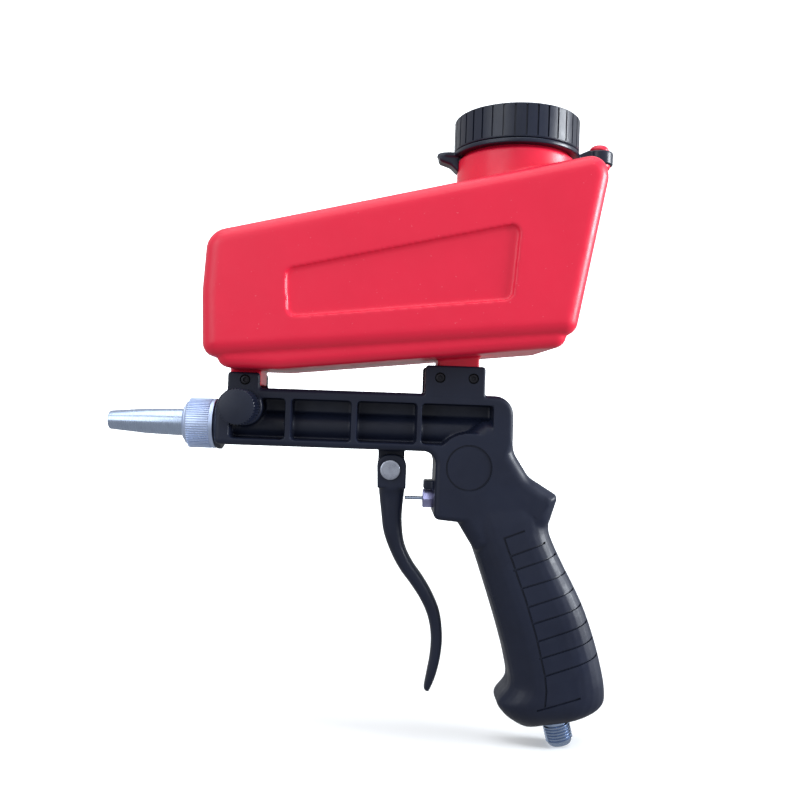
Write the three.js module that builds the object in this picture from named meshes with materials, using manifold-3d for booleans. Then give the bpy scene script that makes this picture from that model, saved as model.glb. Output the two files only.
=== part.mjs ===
// A hand-held, gravity-fed sand blasting gun: a moulded gun with a squeeze trigger and an air valve,
// and a hopper of abrasive on its back. Millimetres. +Z is up, the barrel points along -X, +Y is the far side.
// Everything is drawn in the gun's own frame, whose origin is on the barrel's axis where the collar ends,
// and the last lines move that frame so that the part's origin is the bottom centre of its bounding box.
import * as THREE from "three";
import { mergeVertices } from "three/addons/utils/BufferGeometryUtils.js";
import Module from "manifold-3d";

const wasm = await Module();
wasm.setup();

// ---------------------------------------------------------------- driving dimensions
const BODY_HALF = 15; // half of the gun body's thickness
const BODY_TOP = 18;
const BODY_BOTTOM = -9.5;
const FLANGE_R = 12.5;
const TUBE_R = 7.5; // the moulded barrel tube, seen in the side windows
const BORE_R = 5.5;
const RECEIVER_FRONT = 107.4; // the face that the air valve comes out of
const RECEIVER_BACK = 144.6;
const WINDOWS = [[9.1, 35.2], [38.2, 66.5], [69.3, 97.5], [100.1, 133.9]];
const WINDOW_LOW = -6;
const WINDOW_HIGH = 13.2;
const WEB_HALF = 3;
const BADGE = { x: 123.2, z: -16.6, r: 11, bossR: 16.5 };

const OUTLET_X = 15.5; // the hopper's outlet and the metering valve stand on this line
const SPINDLE_Z = 8.8;
const SPINDLE_R = 3.5;
const KNOB_R = 8.3;
const KNOB_FRONT = -33;
const SADDLE_INNER = 11.5; // the ears of both saddles are this far from the middle, inside
const FRONT_EAR = { from: 7.7, to: 22.8, top: 25.2, screw: [16, 21.6] };
const REAR_EAR = { from: 101, to: 129.6, top: 31.5, screws: [[108.1, 25.7], [123.9, 25.7]] };
const SCREW_HEAD_R = 2.1;
const SCREW_R = 1.4;

const PIVOT = { x: 86, z: -19.2 }; // the trigger's pin
const PIN_R = 2.5;
const LUG_HALF = 4;
const TRIGGER_HALF = 8;
const TRIGGER_TIP_HALF = 4.2;

const VALVE_Z = -33.1;
const VALVE_R = 4.4;
const STEM_R = 2.2;
const STEM_PIN_R = 0.9; // where it stands out of the nut, towards the trigger
const STEM_TIP = 93.6;

const INLET_END = { x: 173.9, z: -150.3 }; // the middle of the threaded end
const INLET_LEAN = THREE.MathUtils.degToRad(14);
const INLET_R = 6.58; // a quarter-inch pipe thread

const HOPPER_HALF = 38;
const HOPPER_WALL = 2.2;
const HOPPER_EDGE = 6; // radius of its long edges
const NECK = { x: 142.3, shoulder: 132.3, top: 146.3, r: 28.4, finishR: 26.2, boreR: 23.8 };
const CAP_THREAD_PITCH = 4;
const CAP = { low: 135.9, high: 152, roof: 2.8, r: 30.2, innerR: 28.1 };
const STUD = { x: 183, ledge: 134.4, headLow: 138.9, headHigh: 143, r: 2.6, headR: 4.8 };

const NOZZLE_TIP = -52;
const COLLAR_THREAD_PITCH = 2;
const COLLAR = { front: -15, back: 0.6, r: 12.2, innerR: 10.3 };
const CHAMBER = { front: -11.1, threadR: 8.9 };

const ROUND = 28; // facets on a large round, and on a small one
const SMALL = 14;
const GAP = 0.15; // between pieces that touch
const RUNNING = 0.08; // round a shaft that turns

// ---------------------------------------------------------------- materials
const material = (color, roughness, metalness) =>
  new THREE.MeshStandardMaterial({ color, roughness, metalness });
const RED_PLASTIC = material(0xe0304c, 0.42, 0);
const BLACK_NYLON = material(0x20242f, 0.55, 0);
const BLACK_CAP = material(0x1c2130, 0.45, 0);
const ALUMINIUM = material(0xc9ccd6, 0.4, 1);
const STEEL = material(0xb4b8c2, 0.25, 1);
const BRASS = material(0xb08d4a, 0.35, 1);
const RUBBER = material(0x151515, 0.8, 0);
const BLACK_STEEL = material(0x1b1b1f, 0.4, 1);

// ---------------------------------------------------------------- shape helpers
function solid(geometry) {
  const g = geometry.index ? geometry.toNonIndexed() : geometry.clone();
  g.deleteAttribute("normal");
  g.deleteAttribute("uv");
  const merged = mergeVertices(g, 1e-5);
  return new wasm.Manifold(new wasm.Mesh({
    numProp: 3,
    vertProperties: merged.attributes.position.array,
    triVerts: new Uint32Array(merged.index.array),
  }));
}

function geometryOf(manifold) {
  const mesh = manifold.getMesh();
  const g = new THREE.BufferGeometry();
  g.setAttribute("position", new THREE.BufferAttribute(mesh.vertProperties, 3));
  g.setIndex(new THREE.BufferAttribute(mesh.triVerts, 1));
  const flat = g.toNonIndexed();
  flat.computeVertexNormals();
  return flat;
}

const join = (...pieces) => pieces.reduce((a, b) => a.add(b));
const cut = (from, ...tools) => tools.reduce((a, b) => a.subtract(b), from);

// A profile of [x, z] points, as thick as two halves across Y, with its outer edges bevelled inwards.
function slab(points, half, bevel = 0, bevelSegments = 2) {
  const shape = new THREE.Shape(points.map(([x, z]) => new THREE.Vector2(x, z)));
  return slabOf(shape, half, bevel, bevelSegments);
}

function slabOf(shape, half, bevel = 0, bevelSegments = 2, curveSegments = 6) {
  const g = new THREE.ExtrudeGeometry(shape, {
    depth: 2 * (half - bevel),
    bevelEnabled: bevel > 0,
    bevelSize: bevel,
    bevelOffset: -bevel,
    bevelThickness: bevel,
    bevelSegments,
    curveSegments,
  });
  g.rotateX(Math.PI / 2);
  g.translate(0, half - bevel, 0);
  return solid(g);
}

// A plan of [x, y] points, raised from one height to another.
function plate(shape, low, high, curveSegments = 8) {
  const g = new THREE.ExtrudeGeometry(shape, { depth: high - low, bevelEnabled: false, curveSegments });
  g.translate(0, 0, low);
  return solid(g);
}

function box(low, high) {
  const size = high.map((v, i) => v - low[i]);
  const g = new THREE.BoxGeometry(...size);
  g.translate(...low.map((v, i) => v + size[i] / 2));
  return solid(g);
}

// A round bar between two distances along X, Y or Z, on a line given by its other two coordinates.
function bar(axis, from, to, [a, b], r, facets = SMALL, r2 = r) {
  const g = new THREE.CylinderGeometry(r2, r, to - from, facets);
  g.translate(0, (from + to) / 2, 0);
  if (axis === "x") g.rotateZ(-Math.PI / 2).translate(0, a, b);
  if (axis === "y") g.translate(a, 0, b);
  if (axis === "z") g.rotateX(Math.PI / 2).translate(a, b, 0);
  return solid(g);
}

// [radius, height] points turned about Z. The profile closes on itself, or starts and ends on the axis.
function turned(profile, facets = ROUND) {
  const points = profile.map(([r, z]) => new THREE.Vector2(r, z));
  const closed = profile[0][0] > 0;
  if (closed) points.push(points[0].clone());
  const g = new THREE.LatheGeometry(points, facets);
  g.rotateX(Math.PI / 2);
  const made = solid(g);
  return made.volume() < 0 ? solid(reversed(g)) : made;
}

function reversed(geometry) {
  const g = geometry.index ? geometry.toNonIndexed() : geometry.clone();
  const p = g.attributes.position.array;
  for (let i = 0; i < p.length; i += 9)
    for (let k = 0; k < 3; k += 1) [p[i + 3 + k], p[i + 6 + k]] = [p[i + 6 + k], p[i + 3 + k]];
  return g;
}

// A closed skin over rings of the same number of points, with a fan across each end.
function loft(rings) {
  const count = rings[0].length;
  const triangles = [];
  const middle = (ring) => ring.reduce((s, p) => s.add(p), new THREE.Vector3()).divideScalar(count);
  const face = (...corners) => triangles.push(...corners.flatMap((p) => [p.x, p.y, p.z]));
  for (let i = 0; i + 1 < rings.length; i += 1)
    for (let k = 0; k < count; k += 1) {
      const n = (k + 1) % count;
      face(rings[i][k], rings[i][n], rings[i + 1][n]);
      face(rings[i][k], rings[i + 1][n], rings[i + 1][k]);
    }
  const [first, last] = [rings[0], rings.at(-1)];
  const [start, end] = [middle(first), middle(last)];
  for (let k = 0; k < count; k += 1) {
    const n = (k + 1) % count;
    face(start, first[n], first[k]);
    face(end, last[k], last[n]);
  }
  const g = new THREE.BufferGeometry();
  g.setAttribute("position", new THREE.BufferAttribute(new Float32Array(triangles), 3));
  const made = solid(g);
  return made.volume() < 0 ? solid(reversed(g)) : made;
}

// An oval ring between two [x, z] points of a side view, with a half width across Y.
function oval([x1, z1], [x2, z2], half, count, squareness = 2) {
  const ring = [];
  for (let k = 0; k < count; k += 1) {
    const a = (2 * Math.PI * k) / count;
    const along = Math.sign(Math.cos(a)) * Math.abs(Math.cos(a)) ** (2 / squareness);
    const across = Math.sign(Math.sin(a)) * Math.abs(Math.sin(a)) ** (2 / squareness);
    const t = (1 - along) / 2;
    ring.push(new THREE.Vector3(x1 + (x2 - x1) * t, across * half, z1 + (z2 - z1) * t));
  }
  return ring;
}

// A helical ridge about Z: its root radius, its crest radius and the turns that it makes.
function threadRidge(rootR, crestR, pitch, low, turns, halfRoot, halfCrest, facets) {
  const steps = Math.round(turns * facets);
  const rings = [];
  for (let i = 0; i <= steps; i += 1) {
    const a = (2 * Math.PI * i) / facets;
    const z = low + (pitch * i) / facets;
    const point = (r, dz) => new THREE.Vector3(r * Math.cos(a), r * Math.sin(a), z + dz);
    rings.push([point(rootR, -halfRoot), point(crestR, -halfCrest), point(crestR, halfCrest), point(rootR, halfRoot)]);
  }
  return loft(rings);
}

function roundedShape(corners, step = 0.5) {
  // corners are [x, z, radius]; each corner becomes an arc that touches both of its sides
  const points = [];
  const n = corners.length;
  corners.forEach(([x, z, r], i) => {
    const here = new THREE.Vector2(x, z);
    const before = new THREE.Vector2(corners[(i + n - 1) % n][0], corners[(i + n - 1) % n][1]).sub(here).normalize();
    const after = new THREE.Vector2(corners[(i + 1) % n][0], corners[(i + 1) % n][1]).sub(here).normalize();
    const opening = Math.acos(THREE.MathUtils.clamp(before.dot(after), -1, 1));
    if (r === 0) {
      points.push(here);
      return;
    }
    const inwards = before.clone().add(after).normalize();
    const middle = here.clone().addScaledVector(inwards, r / Math.sin(opening / 2));
    const start = here.clone().addScaledVector(before, r / Math.tan(opening / 2)).sub(middle);
    const sweep = (Math.PI - opening) * Math.sign(before.cross(after));
    const count = Math.max(1, Math.round(Math.abs(sweep) / step));
    for (let k = 0; k <= count; k += 1)
      points.push(start.clone().rotateAround(new THREE.Vector2(), (-sweep * k) / count).add(middle));
  });
  return new THREE.Shape(points);
}

const gun = new THREE.Group();

function group(parent, x = 0, z = 0) {
  const g = new THREE.Group();
  g.position.set(x, 0, z);
  parent.add(g);
  return g;
}

function piece(parent, name, shape, look) {
  const mesh = new THREE.Mesh(geometryOf(shape), look);
  mesh.name = name;
  parent.add(mesh);
  return mesh;
}

// ---------------------------------------------------------------- gun body
// [x, z] of the grip's front and back edges, from inside the receiver to the heel.
const GRIP_SECTIONS = [
  { front: [118, -34], back: [160, -30], half: 14.5 },
  { front: [121.5, -43.5], back: [163.6, -38.5], half: 15.5 },
  { front: [125.6, -51.5], back: [163.6, -46.5], half: 16 },
  { front: [130.3, -63.5], back: [170, -59], half: 16.5 },
  { front: [136.5, -81.2], back: [180.3, -80], half: 17 },
  { front: [141.6, -96.8], back: [187, -97.5], half: 17 },
  { front: [145.4, -110.5], back: [191.2, -112.5], half: 17 },
  { front: [146.6, -120.5], back: [192.7, -121], half: 17 },
  { front: [141.3, -128.5], back: [192.4, -127.5], half: 17 },
  { front: [144.5, -134.5], back: [188.5, -131.9], half: 15.5 },
  { front: [150.5, -139], back: [181.5, -135.6], half: 12 },
  { front: [155, -141.6], back: [172, -138.4], half: 7 },
];

function bodyShape() {
  const frame = slabOf(roundedShape([
    [2, BODY_BOTTOM, 2.4], [RECEIVER_FRONT, BODY_BOTTOM, 6], [RECEIVER_FRONT, -41.6, 2.4], [121, -42.8, 2.4],
    [128, -57, 3], [163, -49, 3], [163.2, -43, 4], [166.9, -28.8, 2.8], [149, -13, 8],
    [144.4, 0, 6], [RECEIVER_BACK, BODY_TOP, 9], [2, BODY_TOP, 2.4],
  ]), BODY_HALF, 1.6);

  const windows = WINDOWS.map(([from, to]) => roundedShape([
    [from, WINDOW_LOW, 1.5], [to, WINDOW_LOW, 1.5], [to, WINDOW_HIGH, 1.5], [from, WINDOW_HIGH, 1.5],
  ]));
  const boss = bar("y", -BODY_HALF, BODY_HALF, [BADGE.x, BADGE.z], BADGE.bossR, ROUND);
  const recess = (shape) => cut(slabOf(shape, BODY_HALF + 1), slab(
    [[0, -20], [140, -20], [140, 20], [0, 20]], WEB_HALF), boss);
  const windowed = cut(frame, ...windows.map(recess));

  const tube = bar("x", 0, WINDOWS[3][1] + 2, [0, 0], TUBE_R, ROUND);
  const spindleBoss = bar("y", -BODY_HALF, BODY_HALF, [OUTLET_X, SPINDLE_Z], 9, 24);
  const flange = bar("x", 0.9, 3.7, [0, 0], FLANGE_R, ROUND);
  const ears = [FRONT_EAR, REAR_EAR].flatMap(({ from, to, top }) => [-1, 1].map((side) => {
    const [near, far] = side < 0 ? [-BODY_HALF, -SADDLE_INNER] : [SADDLE_INNER, BODY_HALF];
    return slabOf(roundedShape([[from, BODY_TOP - 2, 0], [to, BODY_TOP - 2, 0], [to, top, 1.5], [from, top, 1.5]]),
      (far - near) / 2, 0, 2, 3).translate([0, (near + far) / 2, 0]);
  }));
  const lug = slabOf(roundedShape([
    [PIVOT.x - 6, BODY_BOTTOM + 2, 0], [PIVOT.x - 6, PIVOT.z - 6.5, 5], [PIVOT.x + 6.8, PIVOT.z - 6.5, 5],
    [PIVOT.x + 6.8, BODY_BOTTOM + 2, 0],
  ]), LUG_HALF);
  const stop = box([102.6, -5, -28.4], [RECEIVER_FRONT + 2, 5, -24]);
  const grip = loft(GRIP_SECTIONS.map(({ front, back, half }) => oval(front, back, half, 24, 2.6)));

  const inletPoint = (up) => [INLET_END.x - up * Math.sin(INLET_LEAN), INLET_END.z + up * Math.cos(INLET_LEAN)];
  const slanted = (from, to, r) => {
    const g = new THREE.CylinderGeometry(r, r, to - from, SMALL);
    g.rotateX(Math.PI / 2).translate(0, 0, (from + to) / 2).rotateY(-INLET_LEAN);
    g.translate(INLET_END.x, 0, INLET_END.z);
    return solid(g);
  };
  const screwHoles = [FRONT_EAR.screw, ...REAR_EAR.screws].flatMap((at) => [
    bar("y", -BODY_HALF - 1, BODY_HALF + 1, at, SCREW_R + 0.2, 12),
    bar("y", -BODY_HALF - 1, -BODY_HALF + 2.2, at, SCREW_HEAD_R + 0.3, SMALL),
    bar("y", BODY_HALF - 2.2, BODY_HALF + 1, at, SCREW_HEAD_R + 0.9, SMALL),
  ]);
  const badges = [-1, 1].map((side) => cut(
    bar("y", side * BODY_HALF - 0.5, side * BODY_HALF + 0.5, [BADGE.x, BADGE.z], BADGE.r + 0.4, ROUND),
    bar("y", side * BODY_HALF - 1, side * BODY_HALF + 1, [BADGE.x, BADGE.z], BADGE.r - 0.4, ROUND),
  ));
  const meets = inletPoint(122); // where the grip's air passage meets the valve's
  return cut(
    join(windowed, tube, spindleBoss, flange, lug, stop, grip, ...ears),
    bar("x", -1, 118, [0, 0], BORE_R, 24),
    bar("x", -1, 8, [0, 0], 8.5, ROUND),
    bar("z", 0, BODY_TOP + 1, [OUTLET_X, 0], 3.4),
    bar("z", BODY_TOP - 1.7, BODY_TOP + 1, [OUTLET_X, 0], 6.2, 24),
    bar("y", -BODY_HALF - 1, BODY_HALF + 1, [OUTLET_X, SPINDLE_Z], SPINDLE_R + RUNNING, 24),
    bar("y", -11.2, -8.8, [OUTLET_X, SPINDLE_Z], 5.1, 24),
    bar("y", -5, 5, [PIVOT.x, PIVOT.z], PIN_R + RUNNING, 24),
    bar("x", RECEIVER_FRONT - 1, 134, [0, VALVE_Z], VALVE_R, 24),
    bar("x", 133, meets[0], [0, VALVE_Z], 2.6, 12),
    bar("z", VALVE_Z, 0, [114.5, 0], 2.6, 12),
    slanted(-10, 29, INLET_R + 0.4),
    slanted(28, 120, 3.4),
    ...badges,
    ...screwHoles,
  );
}
piece(gun, "gun_body", bodyShape(), BLACK_NYLON);

// ---------------------------------------------------------------- nozzle end
// Drawn about Z with +Z forwards, out of the nozzle.
const front = group(gun);
front.rotation.y = -Math.PI / 2;
const ahead = (x) => -x; // the gun frame's X, as a height on this group's axis

function chamberShape() {
  const shell = turned([
    [3.4, ahead(27)], [5.2, ahead(27)], [5.2, ahead(8)], [8.2, ahead(7.7)], [8.2, ahead(0)],
    [CHAMBER.threadR - 0.9, ahead(0)], [CHAMBER.threadR - 0.9, ahead(CHAMBER.front)],
    [4.4, ahead(CHAMBER.front)], [4.4, ahead(4)], [3.4, ahead(9)],
  ], 24);
  const ridge = threadRidge(CHAMBER.threadR - 1.1, CHAMBER.threadR, COLLAR_THREAD_PITCH, ahead(-2), 3, 0.55, 0.2, 16);
  const sandPort = bar("x", 0, 8, [0, ahead(OUTLET_X)], 3, 12);
  return cut(join(shell, ridge), sandPort);
}
piece(front, "mixing_chamber", chamberShape(), ALUMINIUM);
piece(front, "air_jet", turned([
  [1.1, ahead(19.8)], [1.9, ahead(19.8)], [3.2, ahead(23)], [3.2, ahead(27.3)], [5.1, ahead(27.3)],
  [5.1, ahead(29)], [2.4, ahead(29)], [1.1, ahead(24)],
], SMALL), BRASS);
piece(front, "air_tube", cut(
  turned([[4, ahead(29.3)], [5.2, ahead(29.3)], [5.2, ahead(117.5)], [4, ahead(117.5)]], SMALL),
  bar("x", -8, 0, [0, ahead(114.5)], 2.4, 12),
), STEEL);
piece(front, "nozzle_seal", turned([
  [5, ahead(CHAMBER.front) + GAP], [8, ahead(CHAMBER.front) + GAP],
  [8, ahead(CHAMBER.front) + 0.9], [5, ahead(CHAMBER.front) + 0.9],
], 24), RUBBER);
piece(front, "nozzle", turned([
  [3.8, 12.2], [8.2, 12.2], [8.2, 13.6], [6.6, 13.6], [6.6, 17], [6.1, 34], [4.6, 51], [4.2, ahead(NOZZLE_TIP)],
  [2.6, ahead(NOZZLE_TIP)], [2.6, 40],
], ROUND), STEEL);

function collarShape() {
  const { front: nose, back, r, innerR } = COLLAR;
  const shell = turned([
    [6.9, ahead(nose)], [7.6, ahead(nose)], [r, ahead(nose) - 3], [r, ahead(back) + 0.3], [r - 0.3, ahead(back)],
    [innerR, ahead(back)], [innerR, 13.8], [6.9, 13.8],
  ], 36);
  const ridge = threadRidge(innerR + 0.2, CHAMBER.threadR - 0.45, COLLAR_THREAD_PITCH, 3, 3, 0.55, 0.2, 16);
  return join(shell, ridge);
}
piece(front, "nozzle_collar", collarShape(), ALUMINIUM);

// ---------------------------------------------------------------- metering valve
const metering = group(gun, OUTLET_X, SPINDLE_Z);
piece(metering, "metering_spindle", cut(
  join(bar("y", -24, 15.3, [0, 0], SPINDLE_R, 24), bar("y", 15.2, 17.5, [0, 0], 2.4, SMALL)),
  bar("z", -5, 5, [0, 0], 2.6, SMALL),
), STEEL);
piece(metering, "spindle_seal", cut(
  bar("y", -11, -9, [0, 0], 4.9, 24), bar("y", -12, -8, [0, 0], SPINDLE_R + GAP, 24),
), RUBBER);
piece(metering, "spindle_clip", cut(
  bar("y", 15.5, 16.3, [0, 0], 5, 24),
  bar("y", 15, 17, [0, 0], 2.6, SMALL), box([-6, 15, -8], [-2, 17, 8]),
), BLACK_STEEL);
piece(metering, "metering_knob", cut(
  join(
    bar("y", KNOB_FRONT + 0.8, -16.6, [0, 0], KNOB_R, 36),
    bar("y", KNOB_FRONT, KNOB_FRONT + 0.8, [0, 0], KNOB_R - 0.8, 36, KNOB_R),
    bar("y", -16.7, -15.5, [0, 0], 6.4, 24),
  ),
  bar("y", -24.3, -15, [0, 0], SPINDLE_R + GAP, 24),
), BLACK_CAP);

// ---------------------------------------------------------------- trigger
const trigger = group(gun, PIVOT.x, PIVOT.z);
// [x, z] of the lever's front and back edges from the pin down to the tip, and its half width.
const LEVER_SECTIONS = [
  { front: [-5.9, -4.5], back: [7.6, -4.5], half: TRIGGER_HALF },
  { front: [-5.3, -9], back: [7.6, -9], half: TRIGGER_HALF },
  { front: [-4.9, -12.5], back: [7.2, -12.5], half: 6.8 },
  { front: [-3.6, -22], back: [6.6, -21.5], half: 6.5 },
  { front: [-2.1, -31], back: [7, -29.5], half: 6.2 },
  { front: [1.4, -40], back: [8.5, -37], half: 5.8 },
  { front: [6.1, -48.4], back: [12.4, -44.8], half: 5.4 },
  { front: [12, -56], back: [17.6, -51.8], half: 5.1 },
  { front: [17.2, -63.6], back: [22.6, -59.8], half: 4.9 },
  { front: [20.9, -71.6], back: [26.6, -69], half: 4.7 },
  { front: [22.7, -80.6], back: [28.3, -80.4], half: 4.6 },
  { front: [22.6, -90], back: [27.8, -90.4], half: 4.5 },
  { front: [21.2, -99.4], back: [25.8, -100], half: TRIGGER_TIP_HALF },
  { front: [20.2, -106], back: [23.2, -107], half: 3 },
  { front: [20.9, -108], back: [22.4, -108.2], half: 1.4 },
];

function triggerShape() {
  const lever = loft(LEVER_SECTIONS.map(({ front: a, back: b, half }) => oval(a, b, half, 16, 3)));
  const cheekProfile = new THREE.Shape();
  cheekProfile.moveTo(-5.9, -9);
  cheekProfile.lineTo(7.6, -9);
  cheekProfile.lineTo(8, 0);
  cheekProfile.absarc(0, 0, 8, 0, Math.PI - Math.acos(5.9 / 8), false);
  cheekProfile.closePath();
  const cheeks = cut(slabOf(cheekProfile, TRIGGER_HALF, 0.6, 1, 12),
    slab([[-12, -7.6], [12, -7.6], [12, 12], [-12, 12]], LUG_HALF + 0.4));
  const slot = slab([[-12, -7.6], [12, -7.6], [12, 12], [-12, 12]], LUG_HALF + 0.4);
  return cut(join(lever, cheeks), slot, bar("y", -12, 12, [0, 0], PIN_R + RUNNING, 24));
}
piece(trigger, "trigger", triggerShape(), BLACK_NYLON);
piece(trigger, "trigger_pin", join(
  bar("y", -TRIGGER_HALF - 0.5, TRIGGER_HALF + 1.8, [0, 0], PIN_R, 24),
  bar("y", -TRIGGER_HALF - 1.5, -TRIGGER_HALF - 0.2, [0, 0], 4.2, 24, 4.8),
), STEEL);
piece(trigger, "pin_clip", cut(
  bar("y", TRIGGER_HALF + 0.3, TRIGGER_HALF + 1.1, [0, 0], 5, 24),
  bar("y", TRIGGER_HALF, TRIGGER_HALF + 2, [0, 0], PIN_R + GAP, 24),
  box([-6, TRIGGER_HALF, -8], [-2, TRIGGER_HALF + 2, 8]),
), BLACK_STEEL);

// ---------------------------------------------------------------- air valve
// Drawn about Z with +Z towards the trigger.
const valve = group(gun, 0, VALVE_Z);
valve.rotation.y = -Math.PI / 2;
const NUT_FROM = 102.4;

function valveNutShape() {
  const hexagon = new THREE.CylinderGeometry(4.9, 4.9, RECEIVER_FRONT - GAP - NUT_FROM, 6);
  hexagon.rotateX(Math.PI / 2).translate(0, 0, -(RECEIVER_FRONT - GAP + NUT_FROM) / 2);
  const chamfered = solid(hexagon).intersect(turned([
    [0, -108], [5.2, -108], [5.2, -NUT_FROM - 0.7], [4.5, -NUT_FROM], [0, -NUT_FROM],
  ], 24));
  const shank = bar("z", -112, -107, [0, 0], VALVE_R - 0.25, 24);
  return cut(join(chamfered, shank), bar("z", -113, -100, [0, 0], STEM_R + 0.1, 24),
    bar("z", -113, -110.2, [0, 0], 3.4, SMALL));
}
piece(valve, "valve_nut", valveNutShape(), STEEL);
piece(valve, "stem_seal", turned([
  [STEM_R + 0.12, -111.8], [3.2, -111.8], [3.2, -110.4], [STEM_R + 0.12, -110.4],
], SMALL), RUBBER);
piece(valve, "valve_seat", cut(
  turned([[1.9, -119.5], [1.9, -117.5], [3.3, -117.5], [3.3, -112.3], [4.15, -112.3], [4.15, -119.5]], 24),
  bar("x", -6, 6, [0, -114.5], 2.2, 12),
), BRASS);
piece(valve, "valve_stem", turned([
  [0, -124], [1.3, -124], [1.3, -112.5], [STEM_R, -112.2], [STEM_R, -NUT_FROM - 1.2], [STEM_PIN_R, -NUT_FROM - 0.8],
  [STEM_PIN_R, -STEM_TIP - 0.3], [STEM_PIN_R - 0.3, -STEM_TIP], [0, -STEM_TIP],
], SMALL), STEEL);
piece(valve, "valve_poppet", turned([[1.42, -121.6], [1.42, -119.7], [3.5, -119.7], [3.5, -121.6]], SMALL), RUBBER);

function springShape() {
  const turns = 4;
  const path = new THREE.CatmullRomCurve3(Array.from({ length: turns * 10 + 1 }, (_, i) => {
    const a = (2 * Math.PI * i) / 10;
    return new THREE.Vector3(2.9 * Math.cos(a), 2.9 * Math.sin(a), -133.2 + (10.8 * i) / (turns * 10));
  }));
  const wire = new THREE.Shape().absarc(0, 0, 0.45, 0, 2 * Math.PI);
  return solid(new THREE.ExtrudeGeometry(wire, { steps: turns * 12, curveSegments: 3, extrudePath: path }));
}
piece(valve, "valve_spring", springShape(), STEEL);

// ---------------------------------------------------------------- air inlet
// Drawn about Z from the threaded end upwards, and leaning with the grip.
const inlet = group(gun, INLET_END.x, INLET_END.z);
inlet.rotation.y = -INLET_LEAN;

function inletShape() {
  const shell = turned([
    [3.6, 0], [5.6, 0], [INLET_R, 1], [INLET_R, 10.8], [5.7, 11.4], [5.7, 12.4], [6.3, 12.4], [6.3, 26.5], [3.6, 26.5],
  ], 24);
  return shell;
}
piece(inlet, "inlet_fitting", inletShape(), STEEL);
piece(inlet, "inlet_seal", turned([[4, 26.8], [6.4, 26.8], [6.4, 28.3], [4, 28.3]], SMALL), RUBBER);

// ---------------------------------------------------------------- hopper
const HOPPER_SIDE = [
  [-0.6, 29.8, 6.5], [-1.8, 60, 12], [-0.2, 87.4, 10], [177.6, 129.2, 8], [180, 118, 6.2], [167.2, 45.2, 6.5],
];
const SKIRT_STEP = 3.5; // the skirt under the hopper stands in from its sides
const SKIRT_SIDE = [[5, 25.6, 4], [3.5, 42, 4], [162, 58, 4], [164.6, 39.4, 5], [33, 25.6, 20]];

function inset(corners, by, radius) {
  // moves each side of a clockwise outline inwards
  const n = corners.length;
  return corners.map(([x, z], i) => {
    const here = new THREE.Vector2(x, z);
    const before = here.clone().sub(new THREE.Vector2(...corners[(i + n - 1) % n])).normalize();
    const after = new THREE.Vector2(...corners[(i + 1) % n]).sub(here).normalize();
    const inwards = (d) => new THREE.Vector2(d.y, -d.x);
    const bisector = inwards(before).add(inwards(after)).normalize();
    const reach = by / bisector.dot(inwards(before));
    return [here.x + bisector.x * reach, here.y + bisector.y * reach, radius(i)];
  });
}

function footBlock({ from, to }, top, low, half) {
  return box([from, -half, low], [to, half, top]);
}

function hopperShape() {
  const skirt = slabOf(roundedShape(SKIRT_SIDE), HOPPER_HALF - SKIRT_STEP, 3, 2);
  const skirtCavity = slabOf(roundedShape(inset(SKIRT_SIDE, HOPPER_WALL, (i) => SKIRT_SIDE[i][2] - 1.5)),
    HOPPER_HALF - SKIRT_STEP - HOPPER_WALL, 1.5, 1);
  const shell = slabOf(roundedShape(HOPPER_SIDE), HOPPER_HALF, HOPPER_EDGE, 3, 5);
  const cavity = slabOf(roundedShape(inset(HOPPER_SIDE, HOPPER_WALL, (i) => Math.max(2, HOPPER_SIDE[i][2] - 2))),
    HOPPER_HALF - HOPPER_WALL, HOPPER_EDGE - 2, 2, 4);
  const neck = bar("z", 112, NECK.shoulder, [NECK.x, 0], NECK.r, 40);
  const finish = bar("z", NECK.shoulder - 1, NECK.top, [NECK.x, 0], NECK.finishR, 40);
  const ridge = threadRidge(NECK.finishR - 0.4, NECK.finishR + 1.1, CAP_THREAD_PITCH, 137.6, 1.6, 0.9, 0.4, ROUND)
    .translate([NECK.x, 0, 0]);
  const ledge = slab([[172, 116], [189, STUD.ledge - 3], [189, STUD.ledge], [179.2, STUD.ledge], [174, 126]], 5.5);
  const stud = join(
    bar("z", STUD.ledge - 1, STUD.headLow + 0.2, [STUD.x, 0], STUD.r),
    bar("z", STUD.headLow, STUD.headLow + 1.6, [STUD.x, 0], STUD.headR),
    bar("z", STUD.headLow + 1.6, STUD.headHigh, [STUD.x, 0], STUD.headR, SMALL, 2),
  );
  const frontFoot = footBlock({ from: FRONT_EAR.from + 0.4, to: FRONT_EAR.to - 0.1 }, 33, BODY_TOP + 0.9, 11);
  const rearFoot = join(
    footBlock({ from: 107, to: 127 }, 42, 30, 11),
    footBlock({ from: 102, to: 129 }, 30.6, BODY_TOP + 0.6, 11),
  );
  const panels = [-1, 1].map((side) => slabOf(roundedShape([
    [36, 70.5, 4], [37.5, 47.6, 4], [137.6, 59.4, 4], [140.2, 92, 4],
  ]), 1, 0, 2, 4).translate([0, side * HOPPER_HALF, 0]));
  const screwBores = REAR_EAR.screws.map((at) => bar("y", -12, 12, at, SCREW_R + 0.15, 12));
  const frontScrewBores = [-1, 1].map((side) => bar("y", Math.min(side * 6, side * 12), Math.max(side * 6, side * 12),
    FRONT_EAR.screw, SCREW_R + 0.15, 12));
  return cut(
    join(shell, skirt, neck, finish, ridge, ledge, stud, frontFoot, rearFoot),
    cavity,
    skirtCavity,
    bar("z", 110, 160, [NECK.x, 0], NECK.boreR, 40),
    bar("z", 10, 40, [OUTLET_X, 0], 4.4, SMALL),
    ...panels, ...screwBores, ...frontScrewBores,
  );
}
piece(gun, "hopper", hopperShape(), RED_PLASTIC);
piece(gun, "outlet_seal", turned([[3.6, 16.5], [6, 16.5], [6, 18.7], [3.6, 18.7]], 24).translate([OUTLET_X, 0, 0]), RUBBER);

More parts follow.
